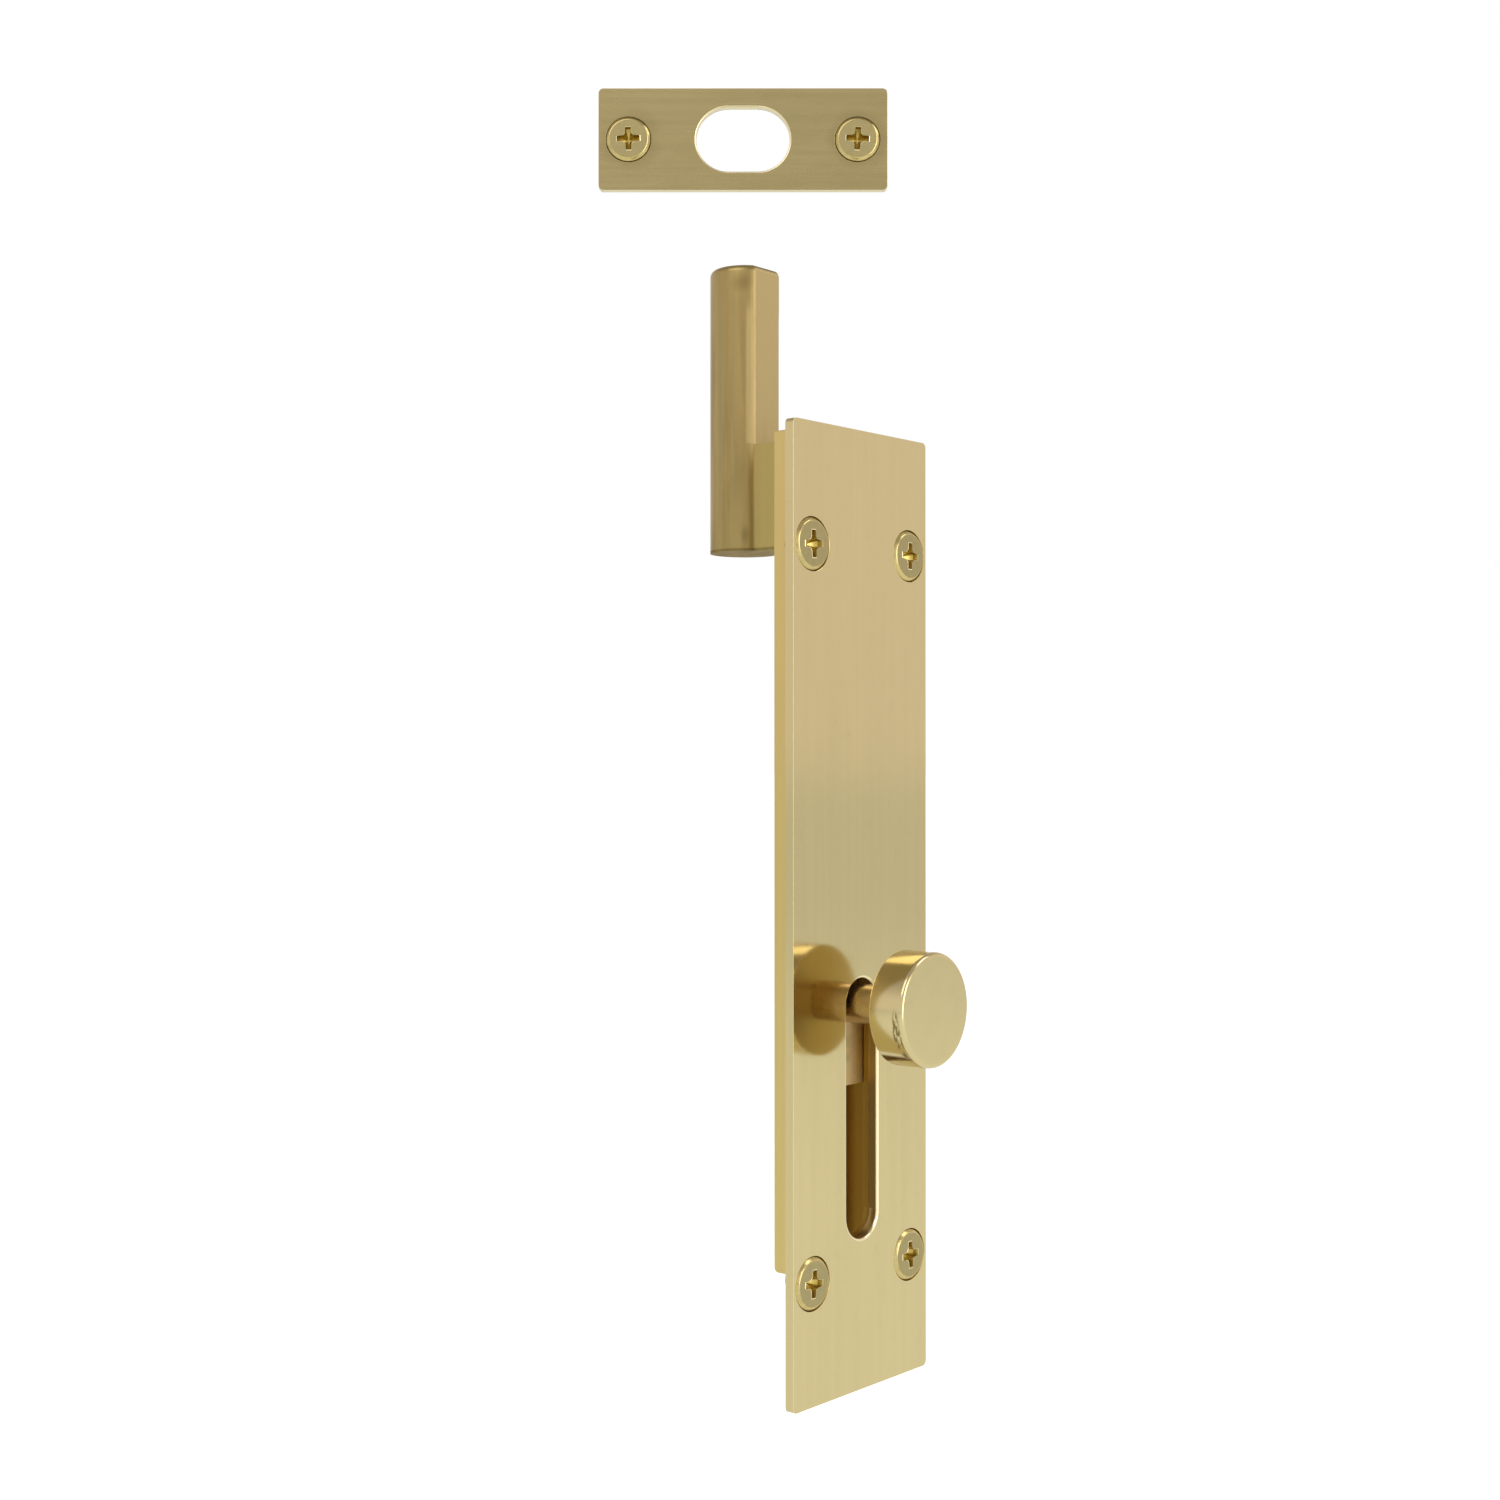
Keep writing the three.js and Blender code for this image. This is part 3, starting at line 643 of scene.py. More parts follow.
@metal("Polished brass")
def polished_brass(graph, here):
    """Buffed sheet under clear lacquer: near mirror, with faint upright polishing lines."""
    rgb = finishes().polished
    grain = graph.group("Metal grain", vector=here, stretch=(1.0, 1.0, 0.03), scale=2600.0)
    sheen = graph.group(
        "Patches", vector=here, stretch=(1.0, 1.0, 0.35), scale=70.0, start=0.35, end=0.75
    )
    haze = graph.group("Patches", vector=here, scale=420.0, start=0.55, end=0.8)
    base = graph.tint(rgb, sheen["Mask"], 0.35, darker(rgb, 0.93))
    base = graph.tint(base, grain["Shade"], 0.3, darker(rgb, 0.9))
    base = graph.tint(base, haze["Mask"], 0.25, darker(rgb, 0.86))
    rough = graph.more(0.10, sheen["Mask"], 0.035)
    rough = graph.more(rough, haze["Mask"], 0.04)
    sizes = bpy.context.scene.bolt_plate
    width, _, middle = slot_place(Millimetres(sizes))
    parts = graph.node("ShaderNodeSeparateXYZ", {0: here}).outputs
    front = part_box("front_plate")[0].y + sizes.slot_edge
    half = width / 2000
    across = graph.ramp(graph.math("ABSOLUTE", parts[0]), half * 1.053, half * 1.015)
    deep = graph.ramp(parts[1], front - 0.00012, front + 0.00006)
    upright = graph.math("ABSOLUTE", graph.math("SUBTRACT", parts[2], middle / 1000))
    beside = graph.ramp(upright, sizes.slot_length * 0.53, sizes.slot_length * 0.52)
    # Painted shade: the slot's walls are tinted towards the dark brass and made rougher.
    wall = graph.math("MULTIPLY", graph.math("MULTIPLY", across, deep), beside)
    base = graph.tint(base, wall, 0.62, finishes().inside)
    rough = graph.more(rough, wall, 0.3)
    # Painted highlight: the rounded edges take the pale worn brass and more roughness, partly burnish
    # and partly a painted highlight.
    rim = graph.node("ShaderNodeAttribute", attribute_name="wear_and_painted_light").outputs["Fac"]
    base = graph.tint(base, rim, 0.85, finishes().worn)
    rough = graph.more(rough, rim, 0.12)
    wave = graph.noise(here, 55.0, 1.0, 0.4)
    height = graph.math("MULTIPLY_ADD", wave, 8.0, grain["Height"])
    return base, rough, height, 0.12, 0.00001



@metal("Turned knob brass")
def knob_brass(graph, here):
    """Turned and buffed bar: rings on its face, a worn lower edge and a brighter rim."""
    rgb = finishes().polished
    low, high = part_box("knob")
    centre = (low + high) / 2
    rings = graph.group("Turning marks", vector=here, centre=tuple(centre), scale=5200.0)
    haze = graph.group("Patches", vector=here, scale=260.0, start=0.45, end=0.75)
    spot = graph.group(
        "Soft spot",
        vector=here,
        centre=(low.x + 0.0012, low.y + 0.0013, centre.z - 0.0036),
        reach=(0.0048, 0.0009, 0.0054),
        softness=0.35,
    )
    ragged = graph.group(
        "Patches", vector=here, stretch=(1.0, 2.4, 0.7), scale=900.0, start=0.44, end=0.56
    )
    scuff = graph.math("MULTIPLY", spot["Mask"], ragged["Mask"])
    base = graph.tint(rgb, haze["Mask"], 0.3, darker(rgb, 0.9))
    base = graph.tint(base, scuff, 0.9, finishes().tarnish)
    along = graph.node("ShaderNodeSeparateXYZ", {0: here}).outputs[1]
    # The last 0.4 mm at the back is tinted paler and made rougher.
    back_band = graph.ramp(along, high.y - 0.0004, high.y - 0.0001)
    base = graph.tint(base, back_band, 0.6, finishes().worn)
    rough = graph.more(0.17, haze["Mask"], 0.05)
    rough = graph.more(rough, scuff, 0.2)
    rough = graph.more(rough, back_band, 0.16)
    height = graph.math("MULTIPLY_ADD", scuff, -1.5, rings["Height"])
    return base, rough, height, 0.10, 0.00002



@metal("Drawn channel brass")
def channel_brass(graph, here):
    """Drawn channel: long lines, a warmer colour, and a hollow darkened with painted shade."""
    rgb = finishes().channel
    grain = graph.group("Metal grain", vector=here, stretch=(1.0, 1.0, 0.02), scale=3000.0)
    sheen = graph.group(
        "Patches", vector=here, stretch=(1.0, 1.0, 0.12), scale=160.0, start=0.35, end=0.7
    )
    base = graph.tint(rgb, grain["Shade"], 0.25, darker(rgb, 0.85))
    base = graph.tint(base, sheen["Mask"], 0.3, darker(rgb, 0.82))
    low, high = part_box("bolt_case")
    sizes = bpy.context.scene.bolt_case
    parts = graph.node("ShaderNodeSeparateXYZ", {0: here}).outputs
    across = graph.math("ABSOLUTE", parts[0])
    wall = high.x - sizes.side_wall
    between = graph.ramp(across, wall + 0.0003, wall + 0.0001)
    before = graph.ramp(parts[1], high.y - 0.0003, high.y - 0.0005)
    behind = graph.ramp(parts[1], low.y + 0.00005, low.y + 0.00015)
    inner = graph.math("MULTIPLY", graph.math("MULTIPLY", between, before), behind)
    # Painted shade: the channel's hollow is tinted towards the dark brass and made rougher.
    base = graph.tint(base, inner, 0.85, finishes().inside)
    rough = graph.more(0.2, grain["Shade"], 0.08)
    rough = graph.more(rough, inner, 0.3)
    return base, rough, grain["Height"], 0.25, 0.00002



@metal("Brushed strike brass")
def strike_brass(graph, here):
    """Sheet brushed lengthways, dulled in clouds and round the screws."""
    values = finishes()
    rgb = values.brushed
    turned = graph.node(
        "ShaderNodeMapping",
        {0: here, "Rotation": (0.0, 0.0, -bpy.context.scene.bolt_strike.turn)},
    ).outputs[0]
    grain = graph.group("Metal grain", vector=turned, stretch=(0.025, 1.0, 1.0), scale=4200.0)
    clouds = graph.group(
        "Patches", vector=turned, stretch=(0.4, 1.0, 1.0), scale=170.0, start=0.4, end=0.66
    )
    base = graph.tint(rgb, grain["Shade"], 0.4, darker(rgb, 0.76))
    dull = graph.math("MULTIPLY", clouds["Mask"], 0.2)
    for side in ("left", "right"):
        low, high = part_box("strike_screw_" + side)
        stain = graph.group(
            "Soft spot",
            vector=here,
            centre=tuple((low + high) / 2),
            reach=(0.0078, 0.0078, 0.0072),
            softness=0.55,
        )
        part = graph.math("MULTIPLY", stain["Mask"], 0.32)
        dull = graph.math("MAXIMUM", dull, part)
    base = graph.mix(dull, base, values.tarnish)
    # Painted highlight: the rounded edges take the pale worn brass, partly burnish and partly a painted
    # highlight.
    rim = graph.node("ShaderNodeAttribute", attribute_name="wear_and_painted_light").outputs["Fac"]
    base = graph.tint(base, rim, 0.7, values.worn)
    rough = graph.more(0.24, clouds["Mask"], 0.1)
    return base, rough, grain["Height"], 0.3, 0.00002



@metal("Aged rod brass")
def rod_brass(graph, here):
    """Extruded and left raw: lengthways streaks, dark patches, and a paler milled flat."""
    values = finishes()
    rgb = values.aged
    low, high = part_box("bolt_rod")
    sizes = bpy.context.scene.bolt_rod
    radius = high.x
    axis_y = high.y - radius
    neck_top = low.z + sizes.neck_height
    parts = graph.node("ShaderNodeSeparateXYZ", {0: here}).outputs
    grain = graph.group("Metal grain", vector=here, stretch=(1.0, 1.0, 0.035), scale=3400.0)
    streaks = graph.group(
        "Patches", vector=here, stretch=(1.0, 1.0, 0.07), scale=420.0, start=0.42, end=0.66
    )
    clouds = graph.group(
        "Patches", vector=here, stretch=(1.0, 1.0, 0.4), scale=170.0, start=0.46, end=0.72
    )
    pits = graph.group("Specks", vector=here, scale=2600.0, share=0.12)
    flat_y = axis_y - math.sqrt(radius**2 - (sizes.neck_width / 2) ** 2)
    front = graph.ramp(parts[1], flat_y + 0.0003, flat_y + 0.00005)
    above = graph.ramp(parts[2], neck_top - 0.0001, neck_top + 0.0001)
    edge_angle = math.asin(sizes.neck_width / 2 / radius)
    facet = edge_angle + math.acos(1 - sizes.facet_depth / radius)
    offset = graph.vector("SUBTRACT", here, (0.0, axis_y, 0.0))
    mirrored = graph.vector("ABSOLUTE", offset)
    across = graph.node("ShaderNodeSeparateXYZ", {0: mirrored}).outputs[0]
    reach = graph.math("MULTIPLY", across, math.sin(facet))
    back = graph.node("ShaderNodeSeparateXYZ", {0: offset}).outputs[1]
    reach = graph.math("MULTIPLY_ADD", back, -math.cos(facet), reach)
    low_enough = graph.ramp(parts[2], high.z - 0.0055, high.z - 0.0085)
    beside = graph.ramp(across, 0.0046, 0.0044)
    level = radius - sizes.facet_depth
    cut = graph.ramp(reach, level - 0.00003, level - 0.00001)
    cut = graph.math("MULTIPLY", graph.math("MULTIPLY", cut, low_enough), beside)
    cut = graph.math("MULTIPLY", cut, 0.45)
    milled = graph.math("MULTIPLY", graph.math("MAXIMUM", front, cut), above)
    neck = graph.ramp(parts[1], axis_y - radius * 0.8, axis_y - radius)
    neck = graph.math("MULTIPLY", neck, graph.math("SUBTRACT", 1.0, above))
    base = graph.tint(rgb, grain["Shade"], 0.4, darker(rgb, 0.78))
    base = graph.tint(base, streaks["Mask"], 0.34, values.tarnish)
    base = graph.tint(base, clouds["Mask"], 0.22, values.tarnish)
    base = graph.tint(base, pits["Mask"], 0.25, values.tarnish)
    for angle, height, reach_z, reach_xy, share, tint in ROD_MARKS:
        centre = (radius * math.sin(angle), axis_y - radius * math.cos(angle), low.z + height)
        spot = graph.group(
            "Soft spot",
            vector=here,
            centre=centre,
            reach=(reach_xy, reach_xy, reach_z),
            softness=0.9,
        )
        streak = graph.math("MULTIPLY", spot["Mask"], share)
        base = graph.mix(streak, base, getattr(values, tint))
    base = graph.tint(base, neck, 0.75, values.neck)
    clean = graph.mix(graph.math("MULTIPLY", pits["Mask"], 0.3), values.milled, rgb)
    base = graph.mix(milled, base, clean)
    foot = graph.ramp(parts[2], low.z + 0.0006, low.z + 0.0003)
    base = graph.tint(base, foot, 0.5, values.tarnish)
    rough = graph.more(0.32, streaks["Mask"], 0.1)
    rough = graph.more(rough, milled, 0.1)
    rough = graph.more(rough, foot, 0.35)
    return base, rough, grain["Height"], 0.3, 0.00003



# Marks on the rod: angle from its front, height over the foot, half height, half width, share, tint.
ROD_MARKS = (
    (-1.66, 0.024, 0.028, 0.0006, 0.55, "verdigris"),
    (-1.2, 0.024, 0.028, 0.0005, 0.2, "verdigris"),
    (-0.95, 0.0442, 0.0022, 0.0026, 0.5, "tarnish"),
    (-0.86, 0.0026, 0.0022, 0.0010, 0.6, "tarnish"),
    (-1.0, 0.012, 0.006, 0.0018, 0.25, "tarnish"),
    (-0.72, 0.030, 0.024, 0.0004, 0.3, "tarnish"),
    (-0.42, 0.036, 0.018, 0.0004, 0.25, "verdigris"),
)


@metal("Rolled bar brass")
def bar_brass(graph, here):
    """Rolled bar with a sawn and linished face."""
    rgb = finishes().bar
    grain = graph.group("Metal grain", vector=here, stretch=(1.0, 1.0, 0.05), scale=3200.0)
    clouds = graph.group("Patches", vector=here, scale=260.0, start=0.42, end=0.7)
    base = graph.tint(rgb, grain["Shade"], 0.4, darker(rgb, 0.78))
    base = graph.tint(base, clouds["Mask"], 0.25, finishes().tarnish)
    rough = graph.more(0.38, clouds["Mask"], 0.1)
    return base, rough, grain["Height"], 0.35, 0.00003



@metal("Turned stem brass")
def stem_brass(graph, here):
    """Turned rod, duller than the knob, with fine rings."""
    rgb = finishes().bar
    centre = tuple(sum(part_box("knob_stem"), Vector()) / 2)
    rings = graph.group("Turning marks", vector=here, centre=centre, scale=6000.0)
    clouds = graph.group("Patches", vector=here, scale=500.0, start=0.4, end=0.7)
    base = graph.tint(rgb, rings["Height"], 0.4, darker(rgb, 0.8))
    base = graph.tint(base, clouds["Mask"], 0.12, finishes().tarnish)
    rough = graph.more(0.27, clouds["Mask"], 0.06)
    return base, rough, rings["Height"], 0.35, 0.00003



@metal("Screw brass")
def screw_brass(graph, here):
    """Plated screw: a matt pale face, bare bright brass where the steel tool has worn through the
    plating, painted shade down in the recess and a painted highlight on the burr.
    """
    values = finishes()
    rgb = values.screws
    pits = graph.group("Specks", vector=here, scale=3800.0, share=0.2)
    clouds = graph.group("Patches", vector=here, scale=900.0, start=0.4, end=0.7)
    wear_and_painted_light = graph.node("ShaderNodeAttribute", attribute_name="wear_and_painted_light").outputs["Fac"]
    base = graph.tint(rgb, clouds["Mask"], 0.35, darker(rgb, 0.84))
    base = graph.tint(base, pits["Mask"], 0.4, darker(rgb, 0.66))
    bare = graph.mix(clouds["Mask"], values.bare, darker(values.bare, 0.85))
    base = graph.mix(graph.math("MINIMUM", wear_and_painted_light, 1.0), base, bare)
    # Painted shade: faces down in the recess take the recess brass.
    down = graph.math("SUBTRACT", wear_and_painted_light, 1.0, clamp=True)
    base = graph.mix(down, base, values.recess)
    # Painted highlight: the burr round the recess takes the pale worn brass.
    burr = graph.math("SUBTRACT", wear_and_painted_light, 2.0, clamp=True)
    base = graph.mix(burr, base, values.worn)
    rough = graph.more(0.42, graph.math("MINIMUM", wear_and_painted_light, 1.0), -0.2)
    rough = graph.more(rough, down, 0.08)
    return base, rough, pits["Mask"], 0.25, 0.00002



@metal("Spring steel")
def spring_steel(graph, here):
    """Blued strip: cool grey with straw and brown heat colours."""
    rgb = finishes().steel
    grain = graph.group("Metal grain", vector=here, stretch=(1.0, 1.0, 0.04), scale=4000.0)
    clouds = graph.group("Patches", vector=here, scale=300.0, start=0.4, end=0.7)
    base = graph.tint(rgb, grain["Shade"], 0.4, darker(rgb, 0.75))
    straw = graph.math("MULTIPLY", clouds["Mask"], 0.3)
    base = graph.mix(straw, base, (0.28, 0.22, 0.13))
    rough = graph.more(0.32, clouds["Mask"], 0.1)
    return base, rough, grain["Height"], 0.3, 0.00003



def floor_paint():
    """Pale matt floor with a barely visible mottle."""
    material = bpy.data.materials.new("Pale floor")
    material.use_nodes = True
    graph = Graph(material.node_tree)
    here = graph.node("ShaderNodeTexCoord").outputs["Object"]
    mottle = graph.noise(here, 3.0, 2.0)
    shader = material.node_tree.nodes["Principled BSDF"]
    pale = graph.mix(mottle, (0.82, 0.86, 0.84), (0.86, 0.90, 0.88))
    graph.feed(shader.inputs["Base Color"], pale)
    graph.feed(shader.inputs["Emission Color"], pale)
    shader.inputs["Emission Strength"].default_value = 0.3
    shader.inputs["Roughness"].default_value = 0.9
    shader.inputs["Specular IOR Level"].default_value = 0.1
    glow = graph.node("ShaderNodeEmission", {0: (1, 1, 1, 1), 1: 0.35})
    lit = graph.node("ShaderNodeAddShader", {0: shader.outputs[0], 1: glow.outputs[0]})
    seen = graph.node("ShaderNodeLightPath").outputs["Is Camera Ray"]
    both = graph.node("ShaderNodeMixShader", {0: seen, 1: shader.outputs[0], 2: lit.outputs[0]})
    graph.feed(material.node_tree.nodes["Material Output"].inputs["Surface"], both.outputs[0])
    return material


# ---- Face plate and case ------------------------------------------------------------------


def slot_place(sizes):
    """Width and length of the slot, and the height of its middle."""
    low, high = box_mm("knob_stem")
    width = high.z - low.z + sizes.slot_spare
    middle = high.z + sizes.stem_gap - sizes.slot_length / 2
    return width, sizes.slot_length, middle


def slot_ring(bm, sizes, level):
    width, height, middle = slot_place(sizes)
    return rounded_ring(bm, width, height, width / 2, SLOT_SEGMENTS, (0, middle), level)


SLOT_SEGMENTS = 16


def inside_slot(sizes, spare=0.1):
    """A test for points on the slot's wall."""
    width, height, middle = slot_place(sizes)
    half, reach = width / 2 + spare, height / 2 + spare
    return lambda p: abs(p.x) < half and abs(p.y - middle) < reach


def head_size(node):
    """Radius of a screw's head and the depth below its face where the head is widest."""
    screws = Millimetres(bpy.context.scene.bolt_screws)
    low, high = box_mm(node)
    return (high.z - low.z) / 2, screws.rim + screws.land


def countersink(node, place, proud, thickness):
    """A hole for a screw that stands proud of a sheet, and the depth of its widest part."""
    screws = bpy.context.scene.bolt_screws
    radius, widest = head_size(node)
    wide = radius + screws.fit * 1000
    back = wide - (proud + thickness - widest) * math.tan(screws.half_angle)
    return (*place, (wide + RIM_SPARE, wide, back)), max(widest - proud, LEAST_SEAT)


def outside(half_width, half_height, strip=1):
    """A test for points in a strip along the outline of a sheet about the origin."""
    return lambda p: abs(p.x) > half_width - strip or abs(p.y) > half_height - strip


def beside_holes(holes, spare=0.2):
    """A test for points in a hole or close to its rim."""
    return lambda p: any(math.hypot(p.x - x, p.y - y) < radii[0] + spare for x, y, radii in holes)


RIM_SPARE = 0.02  # how much wider a countersink is at the front than at its widest seat
LEAST_SEAT = 0.15  # the least depth of that seat, which leaves room to round the rim


PLATE_SCREWS = [f"plate_screw_{row}_{side}" for row in ("upper", "lower") for side in ("left", "right")]


class MESH_OT_bolt_face_plate(bpy.types.Operator):
    """Build the long face plate with its slot and four countersinks"""

    bl_idname = "mesh.bolt_face_plate"
    bl_label = "Face Plate"

    def execute(self, context):
        sizes = Millimetres(context.scene.bolt_plate)
        low, high = box_mm("front_plate")
        thickness = high.y - low.y
        bm = bmesh.new()
        outline = rounded_ring(bm, high.x - low.x, high.z - low.z, sizes.corner, 6, (0, 0), thickness)
        rings = [outline, slot_ring(bm, sizes, thickness)]
        holes = []
        for node in PLATE_SCREWS:
            place = middle_mm(node)
            proud = low.y - box_mm(node)[0].y
            hole, seat = countersink(node, (place.x, place.z), proud, thickness)
            holes.append(hole)
        sheet(bm, rings, holes, (seat, thickness))
        in_slot = inside_slot(sizes)
        at_hole = beside_holes(holes)
        at_front = lambda p: p.z > thickness - NEAR
        round_edges(bm, sizes.slot_edge, 5, lambda p: at_front(p) and in_slot(p))
        round_edges(bm, sizes.hole_edge, 2, lambda p: at_front(p) and at_hole(p))
        outer = outside(high.x, high.z)
        round_edges(bm, sizes.edge, 4, lambda p: at_front(p) and outer(p) and not at_hole(p))
        round_edges(bm, sizes.back_edge, 2, lambda p: p.z < NEAR)
        # The rounded and side faces, away from the screw holes, get the painted edge highlight.
        rim = lambda face: 0.05 < face.normal.z < 0.999 and not at_hole(face.calc_center_median())
        square = faces_along((0, 0, 1), (1, 0, 0), (0, 1, 0))
        finished(bm, "Plate_face", "front_plate", polished_brass(), FACING, square, wear_and_painted_light=rim)
        return {"FINISHED"}


class MESH_OT_bolt_case(bpy.types.Operator):
    """Build the C-shaped channel behind the face plate"""

    bl_idname = "mesh.bolt_case"
    bl_label = "Channel Case"

    def execute(self, context):
        sizes = Millimetres(context.scene.bolt_case)
        low, high = box_mm("bolt_case")
        depth = high.y - low.y
        inner = high.x - sizes.side_wall
        gap = context.scene.bolt_rod.neck_width * 500 + sizes.neck_fit
        bm = bmesh.new()
        place = Matrix.Translation((0, (low.z + high.z) / 2, 0)) @ Matrix.Diagonal(
            (high.x - low.x, high.z - low.z, 1, 1)
        )
        grid = bmesh.ops.create_grid(bm, x_segments=3, y_segments=1, size=0.5, matrix=place)
        for vert in grid["verts"]:
            if abs(vert.co.x) < high.x - NEAR:
                vert.co.x = math.copysign(inner, vert.co.x)
        wall = next(face for face in bm.faces if abs(face.calc_center_median().x) < NEAR)
        around = list(wall.edges)
        bmesh.ops.delete(bm, geom=[wall], context="FACES_ONLY")
        fill(bm, around + slot_ring(bm, Millimetres(context.scene.bolt_plate), 0))
        back = extrude(bm, list(bm.faces), (0, 0, -sizes.front_wall))
        sides = [face for face in back if abs(face.calc_center_median().x) > inner]
        sides = extrude(bm, sides, (0, 0, sizes.lip + sizes.front_wall - depth))
        extrude(bm, sides, (0, 0, -sizes.lip))
        for side in (-1, 1):
            edge_faces = [
                face
                for face in bm.faces
                if abs(face.calc_center_median().x - side * inner) < NEAR
                and face.calc_center_median().z < sizes.lip / 2 - depth + NEAR
            ]
            extrude(bm, edge_faces, (side * (gap - inner), 0, 0))
        bmesh.ops.recalc_face_normals(bm, faces=bm.faces)
        foot = lambda p: p.z < NEAR - depth and p.y < low.z + NEAR
        round_edges(bm, sizes.corner, 5, foot, 60)
        round_edges(bm, sizes.edge, 2, lambda p: p.z < -NEAR, 60)
        flat = faces_along((0, 0, 1), (1, 0, 0), (0, 1, 0))
        finished(bm, "Channel_drawn", "bolt_case", channel_brass(), FACING, flat)
        return {"FINISHED"}


# ---- Bar, rod and spring ------------------------------------------------------------------


def tenon_bore(sizes, knob):
    return knob.tenon + sizes.fit


class MESH_OT_bolt_bar(bpy.types.Operator):
    """Build the bar that slides in the case"""

    bl_idname = "mesh.bolt_bar"
    bl_label = "Slide Bar"

    def execute(self, context):
        sizes = Millimetres(context.scene.bolt_bar)
        knob = Millimetres(context.scene.bolt_knob)
        spring = Millimetres(context.scene.bolt_spring)
        low, high = box_mm("slide_bar")
        stem = middle_mm("knob_stem")
        thickness = high.y - low.y
        bm = bmesh.new()
        middle = (low.z + high.z) / 2
        chamfer = sizes.chamfer
        outline = rounded_ring(bm, high.x - low.x, high.z - low.z, chamfer, 1, (0, middle), thickness)
        bore = tenon_bore(sizes, knob)
        holes = [(0, stem.z, (bore, bore))]
        for node in RIVETS:
            radius = spring.rivet + sizes.fit
            holes.append((0, middle_mm(node).z, (radius, radius)))
        for node in ("neck_screw_lower", "neck_screw_upper"):
            head_low, head_high = box_mm(node)
            radius = (head_high.x - head_low.x) / 2 + sizes.fit
            holes.append((0, middle_mm(node).z, (radius, radius * NECK_SCREW_SHANK)))
        sheet(bm, [outline], holes, (thickness,))
        self.bore_foot(bm, sizes, low, stem.z - bore)
        round_edges(bm, sizes.edge, 2, lambda p: abs(p.x) > BAR_INNER, 40)
        place = FACING @ Matrix.Translation((0, 0, -high.y))
        flat = faces_along((0, 0, 1), (1, 0, 0), (0, 1, 0))
        finished(bm, "Bar_slide", "slide_bar", bar_brass(), place, flat)
        return {"FINISHED"}

    def bore_foot(self, bm, sizes, low, roof):
        """Bores the lower end for the set screw."""
        bmesh.ops.recalc_face_normals(bm, faces=bm.faces)
        foot = min(bm.faces, key=lambda face: face.calc_center_median().y)
        around = list(foot.edges)
        centre = foot.calc_center_median()
        screw_low, screw_high = box_mm("stem_set_screw")
        radius = (screw_high.x - screw_low.x) / 2 + sizes.fit
        bmesh.ops.delete(bm, geom=[foot], context="FACES_ONLY")
        before = set(bm.edges)
        facing_down = Matrix.Translation(centre) @ Matrix.Rotation(math.radians(90), 4, "X")
        bmesh.ops.create_circle(bm, cap_ends=False, segments=32, radius=radius, matrix=facing_down)
        ring = made_since(bm.edges, before)
        fill(bm, around + ring, (0, -1, 0))
        top = min(screw_high.z + sizes.set_screw_gap, roof - sizes.fit)
        end = extrude_edges(bm, ring, (0, top - low.z, 0))
        bmesh.ops.edgeloop_fill(bm, edges=end)


NECK_SCREW_SHANK = 0.57  # radius of a neck screw's shank over that of its head
BAR_INNER = 3.42  # the bar's holes stay this near its middle line


